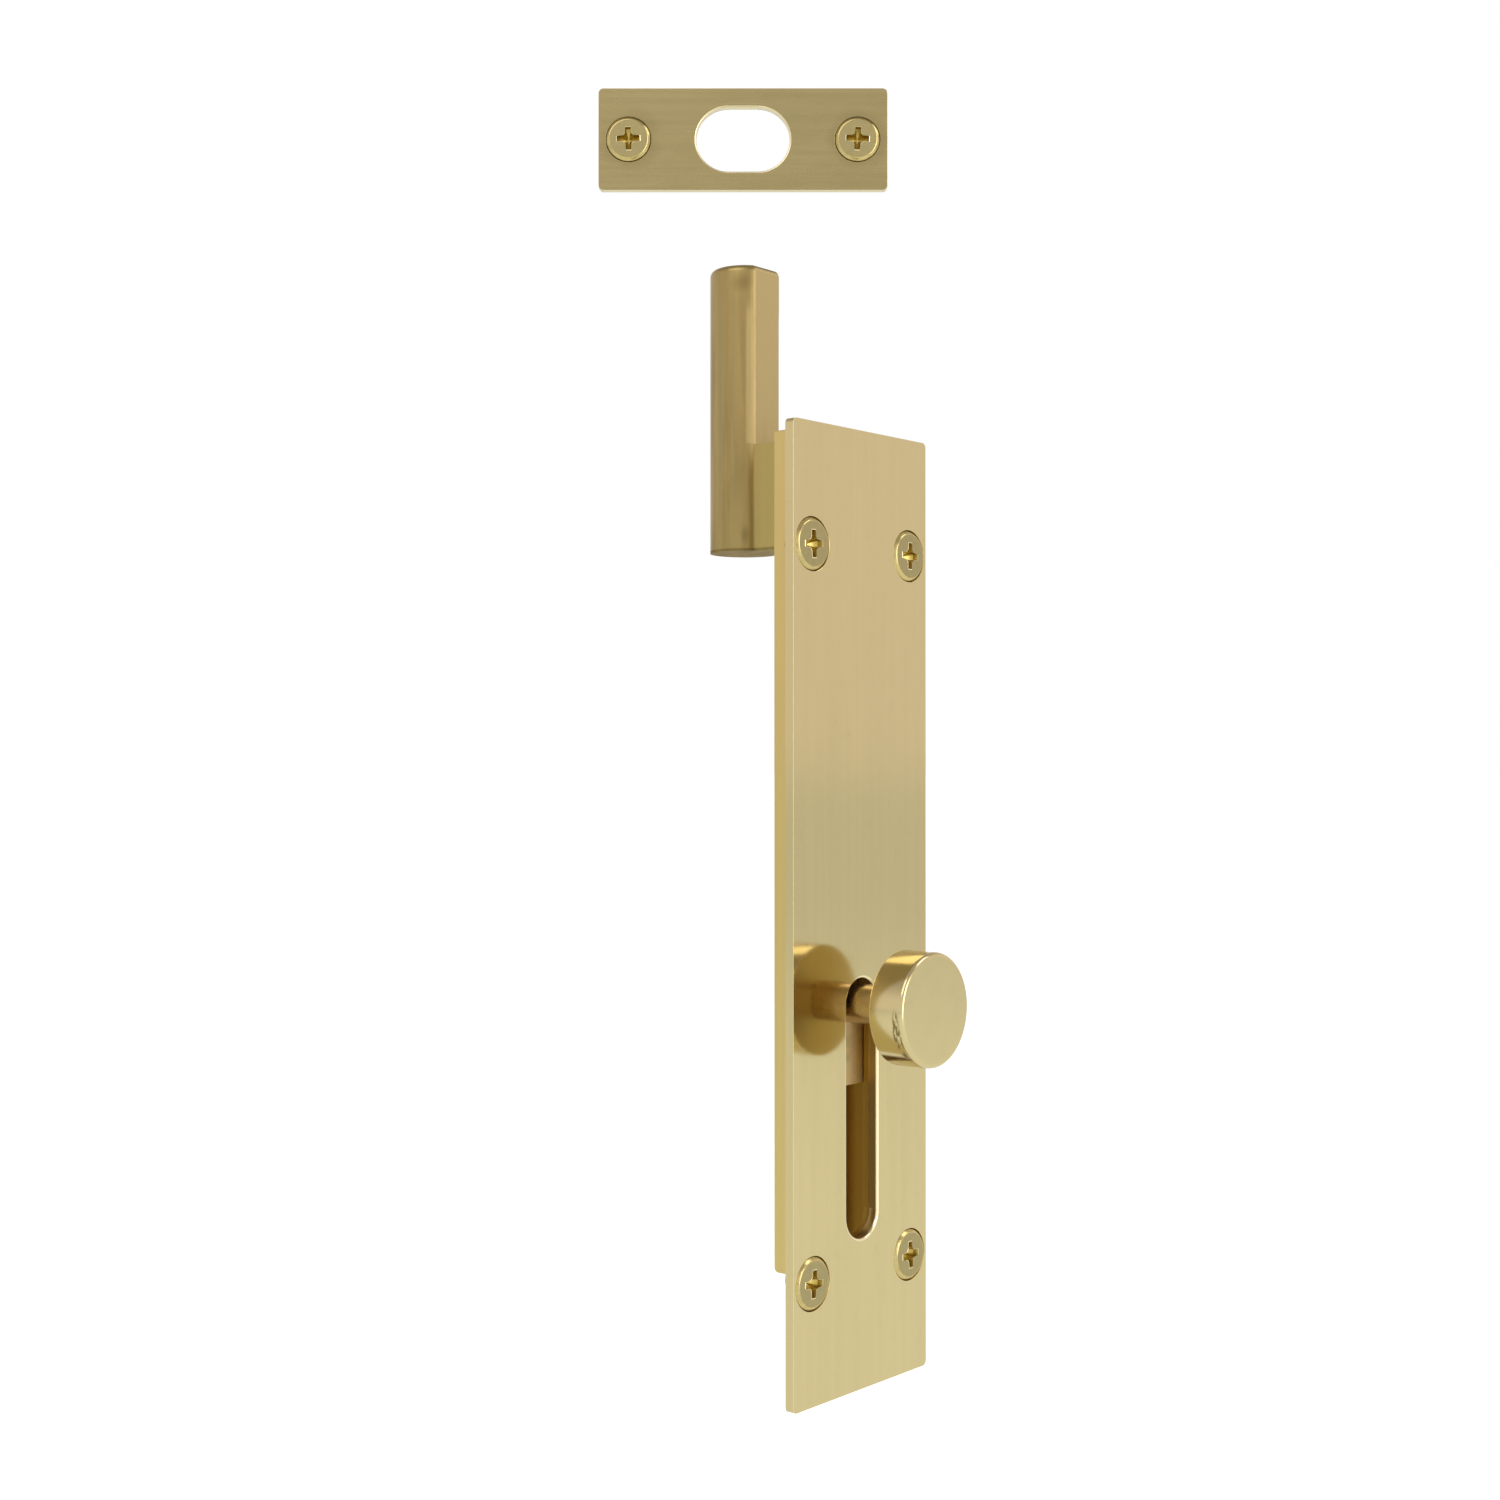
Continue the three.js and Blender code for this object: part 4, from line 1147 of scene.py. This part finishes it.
class MESH_OT_bolt_rod(bpy.types.Operator):
    """Build the bolt rod with its neck and the flat milled above it"""

    bl_idname = "mesh.bolt_rod"
    bl_label = "Bolt Rod"

    def execute(self, context):
        sizes = Millimetres(context.scene.bolt_rod)
        low, high = box_mm("bolt_rod")
        radius = high.x
        axis = Vector((0, high.y - radius, 0))
        half = sizes.neck_width / 2
        bm = bmesh.new()
        edge_angle = math.asin(half / radius)
        facet_half = math.acos((radius - sizes.facet_depth) / radius)
        fillet_reach = Vector((half + sizes.fillet, 0, 0))
        fillet_reach.y = -math.sqrt((radius + sizes.fillet) ** 2 - fillet_reach.x**2)
        fillet_angle = math.atan2(fillet_reach.x, -fillet_reach.y)
        facet_end_angle = edge_angle + 2 * facet_half
        stops = [edge_angle, fillet_angle, facet_end_angle]
        stops += [2 * math.pi - stop for stop in reversed(stops)]
        steps = [1, 3, ROD_STEPS, 3, 1]
        start = bm.verts.new(self.on_rod(axis, radius, edge_angle, low.z))
        last = start
        for first, end, count in zip(stops, stops[1:], steps):
            last = self.sweep(bm, last, axis, end - first, count)
        bm.edges.new((last, start))
        bmesh.ops.edgeloop_fill(bm, edges=list(bm.edges))
        self.draw_neck(bm, axis, fillet_reach, fillet_angle, half, low)
        bmesh.ops.remove_doubles(bm, verts=bm.verts, dist=WELD)
        neck = []
        for edge in bm.edges:
            middle = (edge.verts[0].co + edge.verts[1].co) / 2 - axis
            if edge.is_wire or math.atan2(abs(middle.x), -middle.y) < fillet_angle:
                neck.append(edge)
        bmesh.ops.edgeloop_fill(bm, edges=neck)
        ledge = low.z + sizes.neck_height
        top = extrude(bm, list(bm.faces), (0, 0, sizes.neck_height))
        rod_top = [max(top, key=lambda face: face.calc_area())]
        facet_end = high.z - sizes.facet_below_tip
        levels = [ledge, ledge + sizes.facet_start, facet_end - sizes.facet_fade, facet_end, high.z]
        for below, above in zip(levels, levels[1:]):
            rod_top = extrude(bm, rod_top, (0, 0, above - below))
        facet = (edge_angle, facet_end_angle)
        self.cut_facets(bm, axis, radius - sizes.facet_depth, facet, levels[1:3])
        bmesh.ops.recalc_face_normals(bm, faces=bm.faces)
        round_edges(bm, sizes.tip_round, 6, lambda p: p.z > high.z - NEAR)
        round_edges(bm, sizes.foot_edge, 3, lambda p: p.z < low.z + NEAR and p.y > low.y + half)
        flat = lambda face: abs(face.normal.z) > 0.99999 or face.normal.y < -0.99999
        finished(bm, "Rod_bolt", "bolt_rod", rod_brass(), None, flat, 24)
        return {"FINISHED"}

    def on_rod(self, axis, radius, angle, z):
        return (radius * math.sin(angle), axis.y - radius * math.cos(angle), z)

    def sweep(self, bm, vert, centre, angle, steps):
        made = bmesh.ops.spin(
            bm, geom=[vert], cent=centre, axis=(0, 0, 1), dvec=(0, 0, 0), angle=angle, steps=steps
        )
        return next(item for item in made["geom_last"] if isinstance(item, bmesh.types.BMVert))

    def draw_neck(self, bm, axis, reach, angle, half, low):
        """The neck's two sides, their fillets into the rod and its end on the bar."""
        ends = []
        for side in (-1, 1):
            centre = Vector((side * reach.x, axis.y + reach.y, low.z))
            start = bm.verts.new((side * half, centre.y, low.z))
            foot = bm.verts.new((side * half, low.y, low.z))
            bm.edges.new((foot, start))
            self.sweep(bm, start, centre, -side * (math.pi / 2 - angle), 6)
            ends.append(foot)
        bm.edges.new(ends)

    def cut_facets(self, bm, axis, depth, facet, levels):
        """Flattens the rod beside the milled flat, between two heights."""
        middle = sum(facet) / 2
        for vert in bm.verts:
            if not any(abs(vert.co.z - level) < NEAR for level in levels):
                continue
            for side in (-1, 1):
                out = Vector((side * math.sin(middle), -math.cos(middle), 0))
                offset = vert.co - axis
                angle = math.atan2(side * offset.x, -offset.y)
                if facet[0] < angle < facet[1]:
                    vert.co -= out * (offset.dot(out) - depth)


ROD_STEPS = 64


class MESH_OT_bolt_spring(bpy.types.Operator):
    """Build the bowed leaf spring and the two rivets that hold it to the bar"""

    bl_idname = "mesh.bolt_spring"
    bl_label = "Friction Spring"

    def execute(self, context):
        sizes = Millimetres(context.scene.bolt_spring)
        low, high = box_mm("friction_spring")
        bm = bmesh.new()
        middle = (0, (low.z + high.z) / 2)
        edges = rounded_ring(bm, high.x - low.x, high.z - low.z, sizes.corner, 4, middle)
        for node in RIVETS:
            hole = sizes.rivet + sizes.rivet_fit
            edges += circle_ring(bm, hole, RIVET_HOLE_STEPS, (0, middle_mm(node).z))
        fill(bm, edges)
        foot_end = high.z - sizes.foot
        for index in range(1, SPRING_CUTS):
            level = foot_end - sizes.bow * index / SPRING_CUTS
            geometry = [*bm.verts, *bm.edges, *bm.faces]
            bmesh.ops.bisect_plane(bm, geom=geometry, plane_co=(0, level, 0), plane_no=(0, 1, 0))
        rise = high.y - low.y - sizes.thickness
        for vert in bm.verts:
            share = min(max((foot_end - vert.co.y) / sizes.bow, 0), 1)
            lift = rise * (1 - math.cos(2 * math.pi * share)) / 2
            vert.co.z = -low.y - (max(lift, sizes.fit) if share > SPRING_SEATED else lift)
        extrude(bm, list(bm.faces), (0, 0, -sizes.thickness))
        round_edges(bm, sizes.edge, 2, lambda p: True, 50)
        finished(bm, "Spring_leaf", "friction_spring", spring_steel(), FACING)
        for node in RIVETS:
            self.rivet(sizes, node)
        return {"FINISHED"}

    def rivet(self, sizes, node):
        low, high = box_mm(node)
        middle = middle_mm(node)
        head = (high.x - low.x) / 2
        seat = -box_mm("slide_bar")[1].y - sizes.thickness
        bm = bmesh.new()
        crown = -high.y
        rise = seat - crown
        sphere = (head**2 + rise**2) / (2 * rise)
        reach = math.asin(head / sphere)
        angles = [reach * step / DOME_STEPS for step in range(DOME_STEPS + 1)]
        dome = [
            (sphere * math.sin(angle), crown + sphere * (1 - math.cos(angle))) for angle in angles
        ]
        profile = [*dome, (sizes.rivet, seat), (sizes.rivet, -low.y), (0, -low.y)]
        turn(bm, profile, RIVET_STEPS)
        place = FACING @ Matrix.Translation((middle.x, middle.z, 0))
        finished(bm, node.replace("spring_rivet", "Rivet"), node, screw_brass(), place)


RIVETS = ("spring_rivet_lower", "spring_rivet_upper")
SPRING_CUTS = 36  # across the bowed part
SPRING_SEATED = 0.02  # share of the bow that still lies on the bar
RIVET_HOLE_STEPS = 32
RIVET_STEPS = 40
DOME_STEPS = 8


# ---- Knob and stem ------------------------------------------------------------------------


class MESH_OT_bolt_knob(bpy.types.Operator):
    """Build the round knob and its stem"""

    bl_idname = "mesh.bolt_knob"
    bl_label = "Knob and Stem"

    def execute(self, context):
        sizes = Millimetres(context.scene.bolt_knob)
        steps = context.scene.bolt_knob.steps
        low, high = box_mm("knob")
        middle = middle_mm("knob")
        radius = high.x
        front, back = -low.y, -high.y
        bore = sizes.tenon + context.scene.bolt_bar.fit * 1000
        roof = back + sizes.tenon_length + sizes.bore_spare
        bm = bmesh.new()
        profile = [(0, roof), (bore, roof), (bore, back), (radius, back), (radius, front), (0, front)]
        turn(bm, profile, steps)
        round_edges(bm, sizes.front_round, 8, at_ring(radius, front))
        round_edges(bm, sizes.back_edge, 3, at_ring(radius, back))
        place = FACING @ Matrix.Translation((middle.x, middle.z, 0))
        face_on = faces_along((0, 0, 1))
        finished(bm, "Knob_turned", "knob", knob_brass(), place, face_on)
        self.stem(sizes, back)
        return {"FINISHED"}

    def stem(self, sizes, knob_back):
        low, high = box_mm("knob_stem")
        middle = middle_mm("knob_stem")
        radius = high.x
        shoulder = -box_mm("slide_bar")[0].y
        profile = [
            (0, -low.y),
            (sizes.tenon, -low.y),
            (sizes.tenon, knob_back),
            (radius, knob_back),
            (radius, shoulder),
            (sizes.tenon, shoulder),
            (sizes.tenon, -high.y),
            (0, -high.y),
        ]
        bm = bmesh.new()
        turn(bm, profile, 96)
        for edge_radius, level in ((radius, knob_back), (radius, shoulder), (sizes.tenon, -high.y)):
            round_edges(bm, sizes.stem_edge, 3, at_ring(edge_radius, level))
        place = FACING @ Matrix.Translation((middle.x, middle.z, 0))
        finished(bm, "Stem_turned", "knob_stem", stem_brass(), place, faces_along((0, 0, 1)))


# ---- Screws and strike --------------------------------------------------------------------


def cross_ring(bm, sizes):
    """The outline of the cross recess, with curves between its arms."""
    before = set(bm.edges)
    arm = sizes.recess_arm
    reach = (sizes.recess_span - arm) / 2
    made = bmesh.ops.create_grid(
        bm, x_segments=1, y_segments=1, size=0.5, matrix=Matrix.Diagonal((arm, arm, 1, 1))
    )
    inner = made["verts"]
    for edge in each_once(edge for vert in inner for edge in vert.link_edges):
        out = (edge.verts[0].co + edge.verts[1].co).normalized()
        ends = bmesh.ops.extrude_edge_only(bm, edges=[edge])["geom"]
        moved = [item for item in ends if isinstance(item, bmesh.types.BMVert)]
        bmesh.ops.translate(bm, vec=out * reach, verts=moved)
        across = [ARM_TAPER if abs(along) < 0.5 else 1 for along in out[:2]]
        bmesh.ops.scale(bm, vec=(*across, 1), space=Matrix.Identity(4), verts=moved)
    faces = each_once(face for edge in made_since(bm.edges, before) for face in edge.link_faces)
    bmesh.ops.dissolve_faces(bm, faces=faces)
    corners = [vert for vert in inner if vert.is_valid]
    bmesh.ops.bevel(
        bm,
        geom=corners,
        offset=sizes.recess_corner,
        offset_type="OFFSET",
        segments=4,
        profile=0.5,
        affect="VERTICES",
        material=-1,
    )
    edges = made_since(bm.edges, before)
    faces = each_once(face for edge in edges for face in edge.link_faces)
    bmesh.ops.delete(bm, geom=faces, context="FACES_ONLY")
    return edges


def thread(bm, sizes, start, end):
    """A helical ridge on the body, drawn by spinning its section with a rise."""
    pitch = sizes.pitch
    turns = (start - end - pitch) / pitch
    root = sizes.root - THREAD_SUNK
    section = [(root, 0.92), (sizes.crest, 0.52), (sizes.crest, 0.44), (root, 0.04)]
    verts = [bm.verts.new((radius, 0, start - pitch * share)) for radius, share in section]
    ring = [bm.edges.new((a, b)) for a, b in zip(verts, verts[1:] + verts[:1])]
    steps = round(THREAD_STEPS * turns)
    made = bmesh.ops.spin(
        bm,
        geom=verts + ring,
        cent=(0, 0, 0),
        axis=(0, 0, 1),
        dvec=(0, 0, -pitch * turns / steps),
        angle=2 * math.pi * turns,
        steps=steps,
    )
    last = [item for item in made["geom_last"] if isinstance(item, bmesh.types.BMEdge)]
    for loop in (ring, last):
        bmesh.ops.edgeloop_fill(bm, edges=loop)


def screw(node, name, turned=0.0, place=None):
    """A countersunk screw with a cross recess. Its face is at Z = 0 and it points down."""
    sizes = Millimetres(bpy.context.scene.bolt_screws)
    slope = math.tan(bpy.context.scene.bolt_screws.half_angle)
    radius, widest = head_size(node)
    face = radius - sizes.rim
    cone_end = widest + (radius - sizes.root) / slope
    bm = bmesh.new()
    profile = [
        (face, 0),
        (radius, -sizes.rim),
        (radius, -widest),
        (sizes.root, -cone_end),
        (sizes.root, SCREW_TIP - SCREW_LENGTH),
        (sizes.root - SCREW_TIP, -SCREW_LENGTH),
        (0, -SCREW_LENGTH),
    ]
    turn(bm, profile, SCREW_STEPS)
    cross = cross_ring(bm, sizes)
    rim = [edge for edge in bm.edges if edge.is_boundary and edge not in cross]
    fill(bm, rim + cross)
    wall = extrude_edges(bm, cross, (0, 0, sizes.recess_burr), (BURR_TAPER, BURR_TAPER, 1))
    for share, taper in RECESS_STEPS:
        wall = extrude_edges(bm, wall, (0, 0, -share * sizes.recess_depth), (taper, taper, 1))
    bmesh.ops.edgeloop_fill(bm, edges=wall)
    bmesh.ops.recalc_face_normals(bm, faces=bm.faces)
    round_edges(bm, sizes.burr_edge, 2, lambda p: p.z > sizes.recess_burr - NEAR)
    round_edges(bm, sizes.face_edge, 3, at_ring(face, 0))
    round_edges(bm, sizes.rim_edge, 3, at_ring(radius, -sizes.rim))
    thread(bm, sizes, THREAD_START - cone_end, THREAD_END - SCREW_LENGTH)
    stand = (place or Matrix.Identity(4)) @ Matrix.Rotation(turned, 4, "Z")
    flat = lambda item: abs(item.normal.z) > 0.99999
    return finished(bm, name, node, screw_brass(), stand, flat, wear_and_painted_light=wear_and_light_on_screw)


def wear_and_light_on_screw(face):
    """What finished() wants to know about each of a screw's faces."""
    centre = face.calc_center_median()
    if face.normal.z > 0.999 and centre.z > -NEAR:
        return 0
    from_axis = math.hypot(centre.x, centre.y)
    if centre.z > -NEAR and from_axis < BURR_REACH:
        return 3
    return 2 if centre.z > -RECESS_FLOOR and from_axis < RECESS_REACH else 1


RECESS_STEPS = ((0.5, 0.92), (0.3, 0.72), (0.2, 0.35))  # shares of its depth, and their taper
BURR_TAPER = 0.95  # the burr's crest over its outer edge
SCREW_LENGTH = 4.9
SCREW_TIP = 0.5
THREAD_START = 0.5  # how far above the cone's end the thread starts
THREAD_END = 0.8  # how far short of the tip it runs out
THREAD_SUNK = 0.1  # how far its foot is sunk in the body
THREAD_STEPS = 36  # in one turn
BURR_REACH = 2.6  # the burr, the recess and its floor lie within these of the face's middle
RECESS_REACH = 2.4
RECESS_FLOOR = 2.2
ARM_TAPER = 0.8  # an arm's end over its root
SCREW_STEPS = 80
# How far each screw happened to stop turning, in degrees.
SCREW_TURNS = {
    "plate_screw_upper_left": 3,
    "plate_screw_upper_right": -2,
    "plate_screw_lower_left": -5,
    "plate_screw_lower_right": 4,
    "strike_screw_left": 2,
    "strike_screw_right": -3,
}


class MESH_OT_bolt_screws(bpy.types.Operator):
    """Build the four screws of the face plate"""

    bl_idname = "mesh.bolt_screws"
    bl_label = "Plate Screws"

    def execute(self, context):
        for node in PLATE_SCREWS:
            middle = middle_mm(node)
            face = -box_mm(node)[0].y
            place = FACING @ Matrix.Translation((middle.x, middle.z, face))
            turned = math.radians(SCREW_TURNS[node])
            screw(node, node.replace("plate_screw", "Screw"), turned, place)
        return {"FINISHED"}


def strike_place(context):
    """Stands a piece drawn face on in the middle of the strike plate, turned as it is."""
    sizes = context.scene.bolt_strike
    turned = Matrix.Rotation(sizes.turn, 4, "Z")
    middle = middle_mm("strike_plate")
    return Matrix.Translation(middle) @ turned @ FACING


class MESH_OT_bolt_strike(bpy.types.Operator):
    """Build the strike plate and its two screws"""

    bl_idname = "mesh.bolt_strike"
    bl_label = "Strike Plate"

    def execute(self, context):
        sizes = Millimetres(context.scene.bolt_strike)
        low, high = box_mm("strike_plate")
        height = high.z - low.z
        thickness = sizes.thickness
        place = strike_place(context)
        screws = {}
        for node in ("strike_screw_left", "strike_screw_right"):
            screws[node] = self.face_of(node, place, thickness)
        bm = bmesh.new()
        rings = [
            rounded_ring(bm, sizes.width, height, sizes.corner, 6, (0, 0), thickness),
            rounded_ring(
                bm, sizes.hole_length, sizes.hole_height, sizes.hole_height / 2, 18, (0, 0), thickness
            ),
        ]
        holes = []
        for node, (x, proud) in screws.items():
            hole, seat = countersink(node, (x, 0), proud, thickness)
            holes.append(hole)
        sheet(bm, rings, holes, (seat, thickness))
        at_hole = beside_holes(holes)
        at_front = lambda p: p.z > thickness - NEAR
        far = (sizes.hole_length / 2 + HOLE_SPARE, sizes.hole_height / 2 + HOLE_SPARE)
        inner = lambda p: abs(p.x) < far[0] and abs(p.y) < far[1]
        round_edges(bm, sizes.hole_edge, 4, lambda p: at_front(p) and inner(p))
        round_edges(bm, sizes.screw_hole_edge, 2, lambda p: at_front(p) and at_hole(p))
        outer = outside(sizes.width / 2, height / 2)
        round_edges(bm, sizes.edge, 4, lambda p: at_front(p) and outer(p))
        round_edges(bm, sizes.back_edge, 2, lambda p: p.z < NEAR)
        back = Matrix.Translation((0, 0, -thickness / 2))
        # The rounded and side faces, away from the screw holes, get the painted edge highlight.
        rim = lambda face: -0.05 < face.normal.z < 0.999 and not at_hole(face.calc_center_median())
        square = faces_along((0, 0, 1), (1, 0, 0), (0, 1, 0))
        finished(bm, "Strike_face", "strike_plate", strike_brass(), place @ back, square, wear_and_painted_light=rim)
        for node, (x, proud) in screws.items():
            stand = place @ Matrix.Translation((x, 0, thickness / 2 + proud))
            screw(node, node.capitalize(), math.radians(SCREW_TURNS[node]), stand)
        return {"FINISHED"}

    def face_of(self, node, place, thickness):
        """How far along the strike a screw stands, and how proud its face is."""
        to_strike = place.inverted()
        points = [to_strike @ (vert.co * 1000) for vert in frame["nodes"][node].data.vertices]
        along = [point.x for point in points]
        return (min(along) + max(along)) / 2, max(point.z for point in points) - thickness / 2


HOLE_SPARE = 0.1  # how far past the hole's edge a point may lie and still belong to it


class MESH_OT_bolt_hidden(bpy.types.Operator):
    """Give the small inner pieces their finish"""

    bl_idname = "mesh.bolt_hidden"
    bl_label = "Inner Pieces"

    def execute(self, context):
        looks = {
            "neck_screw_lower": screw_brass,
            "neck_screw_upper": screw_brass,
            "stem_set_screw": spring_steel,
        }
        for node, look in looks.items():
            materials = frame["nodes"][node].data.materials
            materials.clear()
            materials.append(look())
        return {"FINISHED"}


# ---- Stage --------------------------------------------------------------------------------


def area_light(name, place, aim, size, power):
    data = bpy.data.lights.new(name, "AREA")
    data.shape = "RECTANGLE"
    data.size, data.size_y = size
    data.energy = power
    light = bpy.data.objects.new(name, data)
    light.location = place
    light.rotation_euler = (Vector(aim) - Vector(place)).to_track_quat("-Z", "Y").to_euler()
    bpy.context.scene.collection.objects.link(light)


# Name, place, what it is aimed at, width and height in metres, and power in watts.
LIGHTS = (
    ("Left softbox", (-0.9, -0.1, 0.9), (0, 0, 0), (0.9, 0.7), 3),
    ("Front softbox", (-0.1, -1.0, 0.12), (0, 0, 0), (0.5, 1.0), 4.2),
    ("Right softbox", (0.55, -0.7, 0.9), (0, 0, 0.1), (0.5, 0.5), 2),
)


def studio_world():
    """A warm white tent, dimmer overhead. The camera sees plain white behind the object."""
    world = bpy.data.worlds.new("Studio")
    bpy.context.scene.world = world
    world.use_nodes = True
    graph = Graph(world.node_tree)
    world.node_tree.nodes.clear()
    here = graph.node("ShaderNodeTexCoord").outputs["Generated"]
    height = graph.node("ShaderNodeSeparateXYZ", {0: here}).outputs[2]
    overhead = graph.ramp(height, 0.25, 0.75, 1.0, 0.55)
    strength = graph.math("MULTIPLY", overhead, 0.97)
    glow = graph.node("ShaderNodeBackground", {0: (1.0, 0.945, 0.925, 1), 1: strength})
    white = graph.node("ShaderNodeBackground", {0: (1, 1, 1, 1), 1: 1.0})
    seen = graph.node("ShaderNodeLightPath").outputs["Is Camera Ray"]
    both = graph.node("ShaderNodeMixShader", {0: seen, 1: glow.outputs[0], 2: white.outputs[0]})
    graph.node("ShaderNodeOutputWorld", {0: both.outputs[0]})


class OBJECT_OT_bolt_stage(bpy.types.Operator):
    """Set up the floor, the light and the camera"""

    bl_idname = "object.bolt_stage"
    bl_label = "Stage"

    def execute(self, context):
        settings = context.scene.bolt_stage
        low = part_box("front_plate")[0]
        bm = bmesh.new()
        level = low.z - settings.floor_drop
        place = Matrix.Translation((0, 0, level))
        bmesh.ops.create_circle(
            bm, cap_ends=True, segments=96, radius=settings.floor_radius, matrix=place
        )
        mesh = bpy.data.meshes.new("Floor")
        bm.to_mesh(mesh)
        bm.free()
        floor = bpy.data.objects.new("Floor", mesh)
        mesh.materials.append(floor_paint())
        context.scene.collection.objects.link(floor)
        studio_world()
        for light in LIGHTS:
            area_light(*light)
        self.camera(context, settings)
        context.scene.view_settings.view_transform = "Standard"
        return {"FINISHED"}

    def camera(self, context, settings):
        data = bpy.data.cameras.new("Camera")
        data.lens = settings.lens
        data.sensor_width = 36
        data.clip_start = 0.01
        camera = bpy.data.objects.new("Camera", data)
        camera.location = settings.camera_place
        aim = Vector(settings.camera_aim)
        camera.rotation_euler = aim.to_track_quat("-Z", "Y").to_euler()
        context.scene.collection.objects.link(camera)
        context.scene.camera = camera


# ---- Add-on -------------------------------------------------------------------------------

GROUPS = {
    "bolt_plate": PlateSizes,
    "bolt_case": CaseSizes,
    "bolt_bar": BarSizes,
    "bolt_rod": RodSizes,
    "bolt_knob": KnobSizes,
    "bolt_screws": ScrewSizes,
    "bolt_strike": StrikeSizes,
    "bolt_spring": SpringSizes,
    "bolt_finishes": Finishes,
    "bolt_stage": StageSettings,
}

OPERATORS = (
    OBJECT_OT_bolt_stage,
    MESH_OT_bolt_face_plate,
    MESH_OT_bolt_case,
    MESH_OT_bolt_bar,
    MESH_OT_bolt_rod,
    MESH_OT_bolt_spring,
    MESH_OT_bolt_knob,
    MESH_OT_bolt_screws,
    MESH_OT_bolt_strike,
    MESH_OT_bolt_hidden,
)


class VIEW3D_PT_slide_bolt(bpy.types.Panel):
    """Lists the pieces of the slide bolt, with a button for each"""

    bl_idname = "VIEW3D_PT_slide_bolt"
    bl_label = "Slide Bolt"
    bl_space_type = "VIEW_3D"
    bl_region_type = "UI"
    bl_category = "Slide Bolt"

    def draw(self, context):
        for operator in OPERATORS:
            self.layout.operator(operator.bl_idname)
        for name, group in GROUPS.items():
            box = self.layout.box()
            box.label(text=group.__name__)
            for field in group.__annotations__:
                box.prop(getattr(context.scene, name), field)


def register():
    for name, group in GROUPS.items():
        bpy.utils.register_class(group)
        setattr(bpy.types.Scene, name, PointerProperty(type=group))
    for operator in OPERATORS:
        bpy.utils.register_class(operator)
    bpy.utils.register_class(VIEW3D_PT_slide_bolt)


def unregister():
    bpy.utils.unregister_class(VIEW3D_PT_slide_bolt)
    for operator in reversed(OPERATORS):
        bpy.utils.unregister_class(operator)
    for name, group in GROUPS.items():
        delattr(bpy.types.Scene, name)
        bpy.utils.unregister_class(group)


def main():
    register()
    build_groups()
    for operator in OPERATORS:
        family, name = operator.bl_idname.split(".")
        getattr(getattr(bpy.ops, family), name)()


if __name__ == "__main__":
    main()
